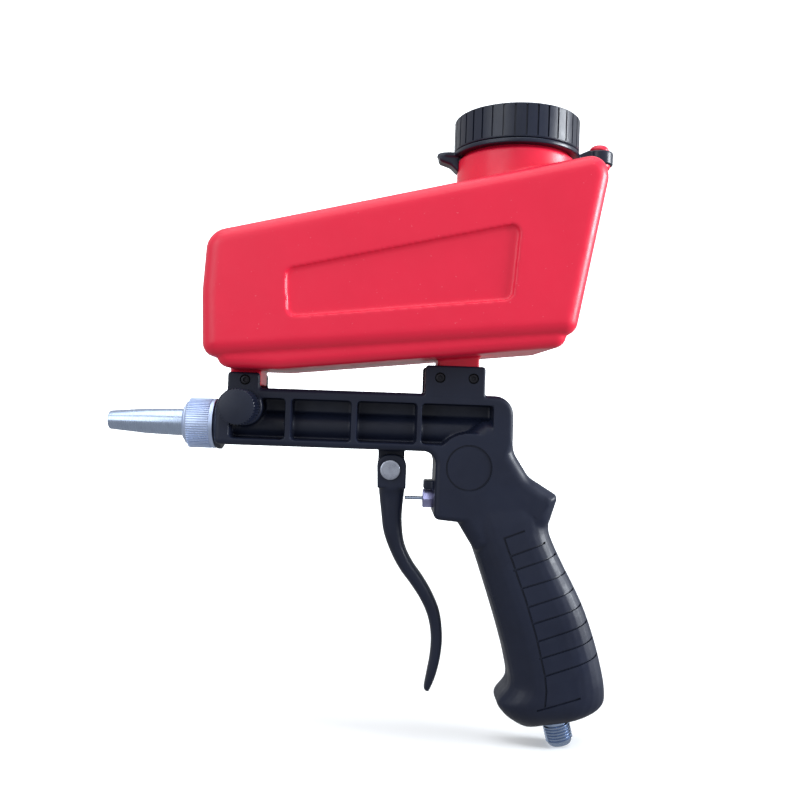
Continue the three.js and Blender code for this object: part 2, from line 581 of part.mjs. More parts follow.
// ---------------------------------------------------------------- filler cap and its tether
const capGroup = group(gun, NECK.x, 0);

function capShape() {
  const shell = turned([
    [0, CAP.high - CAP.roof], [CAP.innerR, CAP.high - CAP.roof], [CAP.innerR, CAP.low], [CAP.r, CAP.low],
    [CAP.r, CAP.high - 1.2], [CAP.r - 1.2, CAP.high], [0, CAP.high],
  ], 48);
  const ridge = threadRidge(CAP.innerR + 0.4, CAP.innerR - 1.2, CAP_THREAD_PITCH, 139.6, 1.2, 0.9, 0.4, ROUND);
  return join(shell, ridge);
}
piece(capGroup, "hopper_cap", capShape(), BLACK_CAP);
const linerShape = bar("z", NECK.top + GAP, CAP.high - CAP.roof - GAP, [0, 0], 26.6, ROUND);
piece(capGroup, "cap_liner", linerShape, RUBBER);

function tetherShape() {
  const ringR = 30.6;
  const plan = new THREE.Shape();
  const tabAngle = THREE.MathUtils.degToRad(24);
  const strapAngle = Math.asin(5 / ringR);
  const loopX = STUD.x - NECK.x;
  const loopR = 6.8;
  plan.absarc(0, 0, ringR, strapAngle, Math.PI - tabAngle, false);
  plan.quadraticCurveTo(-33, 5.5, -36.2, 4);
  plan.quadraticCurveTo(-38.6, 2.5, -38.6, 0);
  plan.quadraticCurveTo(-38.6, -2.5, -36.2, -4);
  plan.quadraticCurveTo(-33, -5.5, -ringR * Math.cos(tabAngle), -ringR * Math.sin(tabAngle));
  plan.absarc(0, 0, ringR, Math.PI + tabAngle, 2 * Math.PI - strapAngle, false);
  plan.lineTo(loopX - 5, -5);
  plan.absarc(loopX, 0, loopR, -Math.PI + 0.83, Math.PI - 0.83, false);
  plan.closePath();
  const side = slab([
    [-45, 132.6], [31, 132.6], [36, STUD.ledge + 0.4], [60, STUD.ledge + 0.4], [60, STUD.ledge + 3.6], [34.5, STUD.ledge + 3.6],
    [30, 135.6], [-45, 135.6],
  ], 40);
  return cut(plate(plan, 130, 142, 10).intersect(side),
    bar("z", 120, 150, [0, 0], 26.9, 40),
    bar("z", 120, 150, [loopX, 0], STUD.r + 0.5, SMALL));
}
piece(capGroup, "tether_strap", tetherShape(), BLACK_CAP);

// ---------------------------------------------------------------- saddle screws
function screw(length) {
  const socket = new THREE.CylinderGeometry(1.1, 1.1, 2.4, 6).translate(0, 0, 0);
  return cut(join(
    bar("y", 0, 1.8, [0, 0], SCREW_HEAD_R, SMALL),
    bar("y", 1.6, length, [0, 0], SCREW_R, 12),
  ), solid(socket));
}
const HEAD_Y = -BODY_HALF + 0.3;
[-1, 1].forEach((side, i) => {
  const mesh = piece(gun, `front_screw_${i + 1}`, screw(8), BLACK_STEEL);
  mesh.position.set(FRONT_EAR.screw[0], side * -HEAD_Y, FRONT_EAR.screw[1]);
  if (side > 0) mesh.rotation.z = Math.PI;
});
REAR_EAR.screws.forEach(([x, z], i) => {
  const bolt = piece(gun, `rear_screw_${i + 1}`, screw(29), BLACK_STEEL);
  bolt.position.set(x, HEAD_Y, z);
  const hexagon = solid(new THREE.CylinderGeometry(2.8, 2.8, 1.7, 6));
  const nut = piece(gun, `rear_nut_${i + 1}`, cut(hexagon, bar("y", -2, 2, [0, 0], SCREW_R + 0.1, 12)), STEEL);
  nut.position.set(x, BODY_HALF - 1.1, z);
});

// ---------------------------------------------------------------- the part's frame
const bounds = new THREE.Box3().setFromObject(gun, true);
const centre = bounds.getCenter(new THREE.Vector3());
gun.position.set(-centre.x, 0, -bounds.min.z);

export default gun;
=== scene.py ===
"""A hand-held, gravity-fed sand blasting gun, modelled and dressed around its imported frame.

Every size is in millimetres in the gun's own frame, whose origin is on the barrel's axis where the collar ends.
The barrel points along -X, +Z is up and +Y is the far side.
"""

import logging
import math
from collections.abc import Callable, Sequence
from dataclasses import dataclass
from enum import Enum

import bmesh
import bpy
from mathutils import Matrix, Vector

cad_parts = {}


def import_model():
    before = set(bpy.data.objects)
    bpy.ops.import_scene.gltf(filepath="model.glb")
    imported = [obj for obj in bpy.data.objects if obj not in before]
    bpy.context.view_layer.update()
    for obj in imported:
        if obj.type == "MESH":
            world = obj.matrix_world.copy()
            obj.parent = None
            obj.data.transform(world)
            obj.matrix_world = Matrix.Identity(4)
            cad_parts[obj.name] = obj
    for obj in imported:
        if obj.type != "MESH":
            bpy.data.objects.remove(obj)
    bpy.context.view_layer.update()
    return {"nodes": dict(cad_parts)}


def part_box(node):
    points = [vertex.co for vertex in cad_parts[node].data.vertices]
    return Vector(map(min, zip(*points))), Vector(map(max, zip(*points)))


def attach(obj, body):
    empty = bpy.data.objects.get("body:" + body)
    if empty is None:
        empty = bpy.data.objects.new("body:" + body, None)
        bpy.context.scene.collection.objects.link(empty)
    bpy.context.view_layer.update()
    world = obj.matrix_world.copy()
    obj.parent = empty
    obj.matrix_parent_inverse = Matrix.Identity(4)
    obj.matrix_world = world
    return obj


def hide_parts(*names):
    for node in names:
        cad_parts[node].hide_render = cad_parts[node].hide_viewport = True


MM = 0.001
FLUSH = 1e-7  # metres: two corners this near to a plane lie in it
WELD = 0.002 * MM  # corners this near to each other become one
CLEAR = 20.0  # millimetres: a cutter that reaches this far either side passes right through the gun
LOG = logging.getLogger("blasting_gun")
Corner = tuple[float, float, float]
Point = tuple[float, float]
Colour = tuple[float, float, float]

# Places that more than one sub-assembly is built on, as X and Z of an axis along Y unless the name says one of them.
BODY_HALF = 15.0
SPINDLE: Point = (15.5, 8.8)
PIVOT: Point = (86, -19.2)
VALVE_Z = -33.1
INLET_END: Point = (173.9, -150.3)
INLET_LEAN = 14.0  # degrees
FRONT_SCREWS: Point = (16, 21.6)
REAR_SCREWS: tuple[Point, Point] = ((108.1, 25.7), (123.9, 25.7))
NECK_X = 142.3
STUD_X = 183.0


class Axis(Enum):
    """The direction that a round piece is turned about."""

    X = 0
    Y = 1
    Z = 2


class Join(Enum):
    """How one solid is combined with another."""

    ADD = "UNION"
    CUT = "DIFFERENCE"
    KEEP = "INTERSECT"


@dataclass(frozen=True)
class Section:
    """One cross-section of a handle, seen from the side.

    Args:
        front: its front edge, as X and Z.
        back: its back edge, as X and Z.
        half: half of its width.
    """

    front: Point
    back: Point
    half: float


def smooth_sections(keys: Sequence[Section], between: int) -> list[Section]:
    """Adds sections between the given ones, on a smooth curve through them.

    Args:
        keys: the sections that the curve passes through.
        between: the number of steps from one section to the next.

    Returns:
        All of the sections, from the first to the last.
    """

    def values(section: Section) -> tuple[float, ...]:
        """Lists a section's five numbers."""
        return (*section.front, *section.back, section.half)

    rows = [values(section) for section in keys]
    rows = [rows[0], *rows, rows[-1]]
    made = []
    for before, start, end, after in zip(rows, rows[1:], rows[2:], rows[3:]):
        for step in range(between):
            t = step / between
            made.append([
                0.5 * (2 * b + (c - a) * t + (2 * a - 5 * b + 4 * c - d) * t**2 + (3 * b - a - 3 * c + d) * t**3)
                for a, b, c, d in zip(before, start, end, after)
            ])
    made.append(rows[-1])
    return [Section((x0, z0), (x1, z1), half) for x0, z0, x1, z1, half in made]


class Bench:
    """The modelling operations that the sub-assemblies share.

    Args:
        origin: the gun's own origin, in metres in the part's frame.
    """

    def __init__(self, origin: Vector) -> None:
        """Remembers where the gun's own origin is."""
        self.origin = origin

    def at(self, x: float, y: float, z: float) -> Vector:
        """Returns a point of the gun's own frame, in metres in the part's frame."""
        return self.origin + Vector((x, y, z)) * MM

    @staticmethod
    def pick(*pieces: bpy.types.Object) -> None:
        """Selects only these pieces, and makes the first one active."""
        if bpy.context.object and bpy.context.object.mode != "OBJECT":
            bpy.ops.object.mode_set(mode="OBJECT")
        bpy.ops.object.select_all(action="DESELECT")
        for piece in pieces:
            piece.select_set(True)
        if pieces:
            bpy.context.view_layer.objects.active = pieces[0]

    @staticmethod
    def _named(name: str) -> bpy.types.Object:
        """Names the piece that was just added, and its mesh."""
        piece = bpy.context.object
        piece.name = name
        piece.data.name = name
        return piece

    def settle(self, piece: bpy.types.Object) -> bpy.types.Object:
        """Moves a piece's place into its mesh, and returns it."""
        self.pick(piece)
        bpy.ops.object.transform_apply(location=True, rotation=True, scale=True)
        return piece

    @staticmethod
    def select_edges(piece: bpy.types.Object, wanted: Callable[[Vector, Vector], bool]) -> int:
        """Selects, in edit mode, the edges whose two ends pass a test.

        Args:
            piece: the piece that is being edited.
            wanted: says from an edge's two ends whether it is selected.

        Returns:
            The number of edges that are selected.
        """
        bpy.ops.mesh.select_mode(type="EDGE")
        bpy.ops.mesh.select_all(action="DESELECT")
        mesh = bmesh.from_edit_mesh(piece.data)
        chosen = [e for e in mesh.edges if wanted(e.verts[0].co, e.verts[1].co)]
        for edge in chosen:
            edge.select_set(True)
        bmesh.update_edit_mesh(piece.data)
        return len(chosen)

    def outline(self, name: str, corners: Sequence[Corner], y: float, arc: int = 7) -> bpy.types.Object:
        """Draws a flat face in a plane across Y, point by point, and rounds its corners.

        Args:
            name: the piece's name.
            corners: X, Z and rounding radius of each corner.
            y: the plane's place.
            arc: the number of steps in each rounded corner.

        Returns:
            The face, still in edit mode.
        """
        self.pick()
        first = self.at(corners[0][0], y, corners[0][1])
        bpy.ops.mesh.primitive_plane_add(size=MM, location=first)
        piece = self._named(name)
        bpy.ops.object.mode_set(mode="EDIT")
        bpy.ops.mesh.select_mode(type="VERT")
        bpy.ops.mesh.select_all(action="SELECT")
        bpy.ops.mesh.merge(type="CENTER")
        loop = [*corners, corners[0]]
        for (x0, z0, _), (x1, z1, _) in zip(loop, loop[1:]):
            step = ((x1 - x0) * MM, 0, (z1 - z0) * MM)
            bpy.ops.mesh.extrude_vertices_move(TRANSFORM_OT_translate={"value": step})
        bpy.ops.mesh.select_all(action="SELECT")
        bpy.ops.mesh.remove_doubles(threshold=10 * WELD)
        bpy.ops.mesh.select_all(action="SELECT")
        bpy.ops.mesh.edge_face_add()
        count = len(corners)
        for i, (x, z, radius) in enumerate(corners):
            if radius <= 0:
                continue
            here = Vector((x, z))
            back = (Vector(corners[(i - 1) % count][:2]) - here).normalized()
            ahead = (Vector(corners[(i + 1) % count][:2]) - here).normalized()
            opening = math.acos(max(-1.0, min(1.0, back.dot(ahead))))
            bpy.ops.mesh.select_all(action="DESELECT")
            mesh = bmesh.from_edit_mesh(piece.data)
            mesh.verts.ensure_lookup_table()
            spot = Vector(((x - corners[0][0]) * MM, 0, (z - corners[0][1]) * MM))
            nearest = min(mesh.verts, key=lambda v: (v.co - spot).length)
            nearest.select_set(True)
            bmesh.update_edit_mesh(piece.data)
            bpy.ops.mesh.bevel(
                offset=radius * MM / math.tan(opening / 2), segments=arc, profile=0.5,
                affect="VERTICES", clamp_overlap=False,
            )
        return piece

    def slab(
        self, name: str, corners: Sequence[Corner], half: float, edge: float = 0.0,
        y: float = 0.0, segments: int = 4, arc: int = 7,
    ) -> bpy.types.Object:
        """Makes a plate across Y from a side view, with rounded edges.

        Args:
            name: the piece's name.
            corners: X, Z and rounding radius of each corner.
            half: half of the plate's thickness.
            edge: the rounding of its edges.
            y: the middle of its thickness.
            segments: the number of steps in its rounded edges.
            arc: the number of steps in each rounded corner.

        Returns:
            The plate.
        """
        piece = self.outline(name, corners, y - half, arc)
        bpy.ops.mesh.select_mode(type="FACE")
        bpy.ops.mesh.select_all(action="SELECT")
        bpy.ops.mesh.extrude_region_move(TRANSFORM_OT_translate={"value": (0, 2 * half * MM, 0)})
        bpy.ops.mesh.select_all(action="SELECT")
        bpy.ops.mesh.normals_make_consistent(inside=False)
        if edge > 0:
            faces = (0.0, 2 * half * MM)
            self.select_edges(piece, lambda a, b: any(
                abs(a.y - face) < FLUSH and abs(b.y - face) < FLUSH for face in faces))
            bpy.ops.mesh.bevel(
                offset=edge * MM, segments=segments, profile=0.5, affect="EDGES", clamp_overlap=False,
            )
        bpy.ops.object.mode_set(mode="OBJECT")
        return self.settle(piece)

    def block(self, name: str, low: Corner, high: Corner, edge: float = 0.0) -> bpy.types.Object:
        """Makes a box between two corners, with bevelled edges.

        Args:
            name: the piece's name.
            low: its lowest corner.
            high: its highest corner.
            edge: the width of its bevels.

        Returns:
            The box.
        """
        self.pick()
        middle = self.at(*((a + b) / 2 for a, b in zip(low, high)))
        size = [(b - a) * MM for a, b in zip(low, high)]
        bpy.ops.mesh.primitive_cube_add(size=1, location=middle, scale=size)
        piece = self.settle(self._named(name))
        if edge > 0:
            bpy.ops.object.mode_set(mode="EDIT")
            bpy.ops.mesh.select_all(action="SELECT")
            bpy.ops.mesh.bevel(offset=edge * MM, segments=3, profile=0.5, affect="EDGES")
            bpy.ops.object.mode_set(mode="OBJECT")
        return piece

    def drum(
        self, name: str, axis: Axis, start: float, end: float, centre: Point, radius: float,
        end_radius: float | None = None, facets: int = 64, rim: float = 0.0, turn: float = 0.0,
    ) -> bpy.types.Object:
        """Makes a round or many-sided bar, whose two rims may be rounded.

        Args:
            name: the piece's name.
            axis: the direction of its axis.
            start: where it starts along the axis.
            end: where it ends.
            centre: the axis's two other coordinates, in X, Y, Z order.
            radius: its radius at the start.
            end_radius: its radius at the end, where that differs.
            facets: the number of its sides.
            rim: the rounding of its rims.
            turn: the angle that its first side is turned by, in radians.

        Returns:
            The bar.
        """
        self.pick()
        place = list(centre)
        place.insert(axis.value, (start + end) / 2)
        bpy.ops.mesh.primitive_cone_add(
            vertices=facets, radius1=radius * MM, radius2=(end_radius or radius) * MM,
            depth=(end - start) * MM, location=self.at(*place), rotation=(0, 0, 0),
        )
        piece = self._named(name)
        lean = {
            Axis.X: Matrix.Rotation(math.pi / 2, 4, "Y"),
            Axis.Y: Matrix.Rotation(-math.pi / 2, 4, "X"),
            Axis.Z: Matrix.Identity(4),
        }[axis]
        piece.rotation_euler = (lean @ Matrix.Rotation(turn, 4, "Z")).to_euler()
        self.settle(piece)
        if rim > 0:
            low, high = (self.origin[axis.value] + v * MM for v in (start, end))
            bpy.ops.object.mode_set(mode="EDIT")
            self.select_edges(piece, lambda a, b: any(
                abs(a[axis.value] - v) < FLUSH and abs(b[axis.value] - v) < FLUSH for v in (low, high)))
            bpy.ops.mesh.bevel(offset=rim * MM, segments=3, profile=0.5, affect="EDGES", clamp_overlap=False)
            bpy.ops.object.mode_set(mode="OBJECT")
        return piece

    def turned(
        self, name: str, axis: Axis, centre: Point, profile: Sequence[Point], steps: int = 96,
    ) -> bpy.types.Object:
        """Turns a profile about an axis, as on a lathe.

        Args:
            name: the piece's name.
            axis: X or Z, the direction of the axis.
            centre: the axis's two other coordinates, in X, Y, Z order.
            profile: the place along the axis and the radius of each point. It closes on itself.
            steps: the number of steps round the axis.

        Returns:
            The turned piece.
        """
        self.pick()
        place = list(centre)
        place.insert(axis.value, 0.0)
        middle = self.at(*place)
        along = Vector([float(i == axis.value) for i in range(3)])
        out = Vector((0, 0, 1)) if axis is Axis.X else Vector((1, 0, 0))
        points = [middle + (along * a + out * r) * MM for a, r in profile]
        bpy.ops.mesh.primitive_plane_add(size=MM, location=points[0])
        piece = self._named(name)
        bpy.ops.object.mode_set(mode="EDIT")
        bpy.ops.mesh.select_mode(type="VERT")
        bpy.ops.mesh.select_all(action="SELECT")
        bpy.ops.mesh.merge(type="CENTER")
        loop = [*points, points[0]]
        for start, end in zip(loop, loop[1:]):
            bpy.ops.mesh.extrude_vertices_move(TRANSFORM_OT_translate={"value": end - start})
        bpy.ops.mesh.select_all(action="SELECT")
        bpy.ops.mesh.remove_doubles(threshold=WELD)
        bpy.ops.mesh.select_all(action="SELECT")
        bpy.ops.mesh.spin(steps=steps, angle=2 * math.pi, center=middle, axis=along)
        bpy.ops.mesh.select_all(action="SELECT")
        bpy.ops.mesh.remove_doubles(threshold=WELD)
        bpy.ops.mesh.delete_loose()
        bpy.ops.mesh.select_all(action="SELECT")
        bpy.ops.mesh.normals_make_consistent(inside=False)
        bpy.ops.object.mode_set(mode="OBJECT")
        return self.settle(piece)

    def handle(self, name: str, sections: Sequence[Section], origin: Point, softness: float) -> bpy.types.Object:
        """Bridges a row of cross-sections and rounds the four long edges.

        Args:
            name: the piece's name.
            sections: the cross-sections, from one end to the other.
            origin: X and Z that the sections are measured from.
            softness: the share of each side that the rounding takes, in per cent.

        Returns:
            The handle.
        """
        self.pick()
        rings: dict[tuple[float, ...], int] = {}
        for i, section in enumerate(sections):
            front = self.at(origin[0] + section.front[0], 0, origin[1] + section.front[1])
            back = self.at(origin[0] + section.back[0], 0, origin[1] + section.back[1])
            across = back - front
            middle = (front + back) / 2
            lean = -math.atan2(across.z, across.x)
            bpy.ops.mesh.primitive_plane_add(size=1, location=middle, rotation=(0, lean, 0))
            if i == 0:
                piece = self._named(name)
                self.settle(piece)
                bpy.ops.object.mode_set(mode="EDIT")
                bpy.ops.mesh.select_mode(type="VERT")
                bpy.ops.mesh.select_all(action="SELECT")
            scale = (across.length, 2 * section.half * MM, across.length)
            bpy.ops.transform.resize(value=scale, center_override=middle)
            for end in (front, back):
                for side in (-1, 1):
                    spot = end + Vector((0, side * section.half * MM, 0))
                    rings[tuple(round(c, 6) for c in spot)] = i
        bpy.ops.mesh.select_mode(type="EDGE")
        bpy.ops.mesh.select_all(action="SELECT")
        bpy.ops.mesh.delete(type="ONLY_FACE")
        bpy.ops.mesh.select_all(action="SELECT")
        bpy.ops.mesh.bridge_edge_loops()
        bpy.ops.mesh.select_all(action="SELECT")
        bpy.ops.mesh.fill_holes(sides=8)
        bpy.ops.mesh.select_all(action="SELECT")
        bpy.ops.mesh.normals_make_consistent(inside=False)

        def ring_of(spot: Vector) -> int:
            """Finds the cross-section that a point belongs to."""
            return min(rings.items(), key=lambda item: (Vector(item[0]) - spot).length)[1]

        self.select_edges(piece, lambda a, b: ring_of(a) != ring_of(b))
        bpy.ops.mesh.bevel(
            offset_type="PERCENT", offset_pct=softness, segments=6, profile=0.5, affect="EDGES",
            clamp_overlap=False,
        )
        bpy.ops.object.mode_set(mode="OBJECT")
        return self.settle(piece)

    def combine(self, body: bpy.types.Object, how: Join, *tools: bpy.types.Object) -> bpy.types.Object:
        """Combines solids with a body, one after another, and removes them.

        Args:
            body: the solid that stays.
            how: whether the others are added, cut away or kept.
            tools: the other solids.

        Returns:
            The body.
        """
        for solid in (body, *tools):
            self.pick(solid)
            bpy.ops.object.mode_set(mode="EDIT")
            bpy.ops.mesh.select_all(action="SELECT")
            bpy.ops.mesh.quads_convert_to_tris()
            bpy.ops.object.mode_set(mode="OBJECT")
        for tool in tools:
            self.pick(body)
            bpy.ops.object.modifier_add(type="BOOLEAN")
            modifier = body.modifiers[-1]
            modifier.operation = how.value
            modifier.solver = "MANIFOLD"
            modifier.object = tool
            bpy.ops.object.modifier_apply(modifier=modifier.name)
            bpy.data.objects.remove(tool)
        return body

    def copies(self, piece: bpy.types.Object, axis: Axis, centre: Point, count: int) -> bpy.types.Object:
        """Repeats a piece round an axis, and joins the copies into one.

        Args:
            piece: the first of them.
            axis: the direction of the axis.
            centre: the axis's two other coordinates, in X, Y, Z order.
            count: how many there are in all.

        Returns:
            The joined copies.
        """
        place = list(centre)
        place.insert(axis.value, 0.0)
        middle = self.at(*place)
        row = [piece]
        for i in range(1, count):
            self.pick(piece)
            bpy.ops.object.duplicate()
            copy = bpy.context.object
            turn = Matrix.Rotation(2 * math.pi * i / count, 4, axis.name)
            copy.matrix_world = Matrix.Translation(middle) @ turn @ Matrix.Translation(-middle)
            self.settle(copy)
            row.append(copy)
        self.pick(*row)
        bpy.ops.object.join()
        return piece

    def mould(self, body: bpy.types.Object, voxel: float, smooth: int, keep: float) -> bpy.types.Object:
        """Runs a body's parts together, softens its edges as a mould does, and thins its mesh.

        Args:
            body: the piece.
            voxel: the size of the grid that it is rebuilt on.
            smooth: the number of smoothing passes.
            keep: the share of its triangles that stay.

        Returns:
            The body.
        """
        self.pick(body)
        bpy.ops.object.modifier_add(type="REMESH")
        remesh = body.modifiers[-1]
        remesh.mode = "VOXEL"
        remesh.voxel_size = voxel * MM
        bpy.ops.object.modifier_apply(modifier=remesh.name)
        bpy.ops.object.modifier_add(type="SMOOTH")
        soften = body.modifiers[-1]
        soften.factor = 0.5
        soften.iterations = smooth
        bpy.ops.object.modifier_apply(modifier=soften.name)
        bpy.ops.object.modifier_add(type="DECIMATE")
        thin = body.modifiers[-1]
        thin.ratio = keep
        bpy.ops.object.modifier_apply(modifier=thin.name)
        return body

    def helix(
        self, name: str, centre: Point, low: float, root: float, crest: float, pitch: float, turns: int,
        root_half: float, crest_half: float, steps: int = 48,
    ) -> bpy.types.Object:
        """Winds a thread's tooth about Z.

        Args:
            name: the piece's name.
            centre: X and Y of its axis.
            low: the height that it starts at.
            root: the tooth's radius at its root.
            crest: the tooth's radius at its crest.
            pitch: the rise in one turn.
            turns: the number of turns.
            root_half: half of the tooth's thickness at its root.
            crest_half: half of its thickness at its crest.
            steps: the number of steps in one turn.

        Returns:
            The closed tooth.
        """
        self.pick()
        middle = self.at(centre[0], centre[1], low)
        bpy.ops.mesh.primitive_plane_add(size=1, location=middle)
        piece = self._named(name)
        bpy.ops.object.mode_set(mode="EDIT")
        bpy.ops.mesh.select_mode(type="VERT")
        for radius_sign, height_sign, radius, height in (
            (-1, -1, root, -root_half), (1, -1, crest, -crest_half),
            (1, 1, crest, crest_half), (-1, 1, root, root_half),
        ):
            bpy.ops.mesh.select_all(action="DESELECT")
            mesh = bmesh.from_edit_mesh(piece.data)
            corner = next(
                v for v in mesh.verts
                if v.co.x * radius_sign > 0.4 and v.co.y * height_sign > 0.4 and abs(v.co.z) < FLUSH
            )
            corner.select_set(True)
            move = (radius * MM - corner.co.x, -corner.co.y, height * MM)
            bmesh.update_edit_mesh(piece.data)
            bpy.ops.transform.translate(value=move)
        bpy.ops.mesh.select_all(action="SELECT")
        bpy.ops.mesh.delete(type="ONLY_FACE")
        bpy.ops.object.mode_set(mode="OBJECT")
        bpy.ops.object.modifier_add(type="SCREW")
        screw = piece.modifiers[-1]
        screw.axis = "Z"
        screw.angle = 2 * math.pi
        screw.screw_offset = pitch * MM
        screw.iterations = turns
        screw.steps = steps
        screw.render_steps = steps
        bpy.ops.object.modifier_apply(modifier=screw.name)
        self.settle(piece)
        bpy.ops.object.mode_set(mode="EDIT")
        bpy.ops.mesh.select_all(action="SELECT")
        bpy.ops.mesh.remove_doubles(threshold=WELD / 2)
        bpy.ops.mesh.select_all(action="SELECT")
        bpy.ops.mesh.fill_holes(sides=4)
        bpy.ops.mesh.select_all(action="SELECT")
        bpy.ops.mesh.normals_make_consistent(inside=False)
        bpy.ops.object.mode_set(mode="OBJECT")
        return piece

    def shade(self, piece: bpy.types.Object, angle: float = 35.0) -> bpy.types.Object:
        """Shades a piece smoothly but for its edges sharper than an angle in degrees, and returns it."""
        self.pick(piece)
        bpy.ops.object.shade_smooth_by_angle(angle=math.radians(angle))
        return piece

    def tilt(self, piece: bpy.types.Object, centre: Corner, degrees: float) -> bpy.types.Object:
        """Turns a piece about a line along Y.

        Args:
            piece: the piece.
            centre: a point of the line.
            degrees: the angle, from +Z towards +X.

        Returns:
            The piece.
        """
        middle = self.at(*centre)
        turn = Matrix.Rotation(math.radians(degrees), 4, "Y")
        piece.matrix_world = Matrix.Translation(middle) @ turn @ Matrix.Translation(-middle)
        return self.settle(piece)


def inset(corners: Sequence[Corner], by: float, least: float) -> list[Corner]:
    """Moves each side of a clockwise outline inwards.

    Args:
        corners: X, Z and rounding radius of each corner.
        by: how far each side moves.
        least: the smallest rounding radius of a corner.

    Returns:
        The smaller outline.
    """
    made = []
    for i, (x, z, radius) in enumerate(corners):
        here = Vector((x, z))
        before = (here - Vector(corners[i - 1][:2])).normalized()
        after = (Vector(corners[(i + 1) % len(corners)][:2]) - here).normalized()
        inwards = [Vector((side.y, -side.x)) for side in (before, after)]
        bisector = (inwards[0] + inwards[1]).normalized()
        spot = here + bisector * by / bisector.dot(inwards[0])
        made.append((spot.x, spot.y, max(least, radius - by)))
    return made


class NodeBoard:
    """Lays out one material's nodes.

    Args:
        name: the material's name.
    """

    def __init__(self, name: str) -> None:
        """Starts a material with one shader and the object's own coordinates."""
        self.material = bpy.data.materials.new(name)
        self.material.use_nodes = True
        self.tree = self.material.node_tree
        self.shader = self.tree.nodes["Principled BSDF"]
        self.place = self.tree.nodes.new("ShaderNodeTexCoord").outputs["Object"]

    def noise(
        self, size: float, detail: float = 2.0, rough: float = 0.5, stretch: Corner = (1, 1, 1),
    ) -> bpy.types.NodeSocket:
        """Adds a noise pattern.

        Args:
            size: the size of its features, in millimetres.
            detail: the number of finer layers in it.
            rough: the strength of the finer layers.
            stretch: the scale of the pattern along X, Y and Z.

        Returns:
            The pattern's value.
        """
        mapping = self.tree.nodes.new("ShaderNodeMapping")
        mapping.inputs["Scale"].default_value = stretch
        self.tree.links.new(self.place, mapping.inputs["Vector"])
        node = self.tree.nodes.new("ShaderNodeTexNoise")
        node.inputs["Scale"].default_value = 1 / (size * MM)
        node.inputs["Detail"].default_value = detail
        node.inputs["Roughness"].default_value = rough
        self.tree.links.new(mapping.outputs["Vector"], node.inputs["Vector"])
        return node.outputs["Fac"]

    def between(self, value: bpy.types.NodeSocket, span: Point, low: float, high: float) -> bpy.types.NodeSocket:
        """Spreads a value over a new range.

        Args:
            value: the value.
            span: the two values that become the lowest and the highest.
            low: the new lowest value.
            high: the new highest value.

        Returns:
            The new value.
        """
        node = self.tree.nodes.new("ShaderNodeMapRange")
        for socket, number in (("From Min", span[0]), ("From Max", span[1]), ("To Min", low), ("To Max", high)):
            node.inputs[socket].default_value = number
        self.tree.links.new(value, node.inputs["Value"])
        return node.outputs["Result"]

    def colour(self, value: bpy.types.NodeSocket, stops: Sequence[tuple[float, Colour]]) -> None:
        """Colours the surface by a value.

        Args:
            value: the value.
            stops: the value and the colour of each stop.
        """
        ramp = self.tree.nodes.new("ShaderNodeValToRGB")
        while len(ramp.color_ramp.elements) < len(stops):
            ramp.color_ramp.elements.new(0.5)
        for element, (place, colour) in zip(ramp.color_ramp.elements, stops):
            element.position = place
            element.color = (*colour, 1)
        self.tree.links.new(value, ramp.inputs["Fac"])
        self.tree.links.new(ramp.outputs["Color"], self.shader.inputs["Base Color"])

    def roughness(self, value: bpy.types.NodeSocket, low: float, high: float) -> None:
        """Makes the surface between two roughnesses, by a value."""
        self.tree.links.new(self.between(value, (0.35, 0.65), low, high), self.shader.inputs["Roughness"])

    def relief(self, *layers: tuple[bpy.types.NodeSocket, float]) -> None:
        """Lays patterns of bumps over each other.

        Args:
            layers: each pattern's height, and its depth in millimetres.
        """
        normal = None
        for height, depth in layers:
            node = self.tree.nodes.new("ShaderNodeBump")
            node.inputs["Distance"].default_value = depth * MM
            self.tree.links.new(height, node.inputs["Height"])
            if normal is not None:
                self.tree.links.new(normal, node.inputs["Normal"])
            normal = node.outputs["Normal"]
        self.tree.links.new(normal, self.shader.inputs["Normal"])

    def fixed(self, **values: float) -> None:
        """Sets the shader's own values. Each name is a socket's, with _ for a space."""
        for name, value in values.items():
            self.shader.inputs[name.replace("_", " ")].default_value = value


@dataclass(frozen=True)
class Finish:
    """What every finish has.

    Args:
        name: the material's name.
        slot: the name of the part's material that it belongs to.
        colour: its usual colour.
        deep: its colour where the pattern is darkest.
        rough: its lowest and highest roughness.
    """

    name: str
    slot: str
    colour: Colour
    deep: Colour
    rough: Point

    def lay(self, board: NodeBoard) -> None:
        """Lays out the finish's nodes on a board."""
        raise NotImplementedError

    def material(self) -> bpy.types.Material:
        """Returns the finish's material, which is made once."""
        if self.name not in bpy.data.materials:
            self.lay(NodeBoard(self.name))
        return bpy.data.materials[self.name]


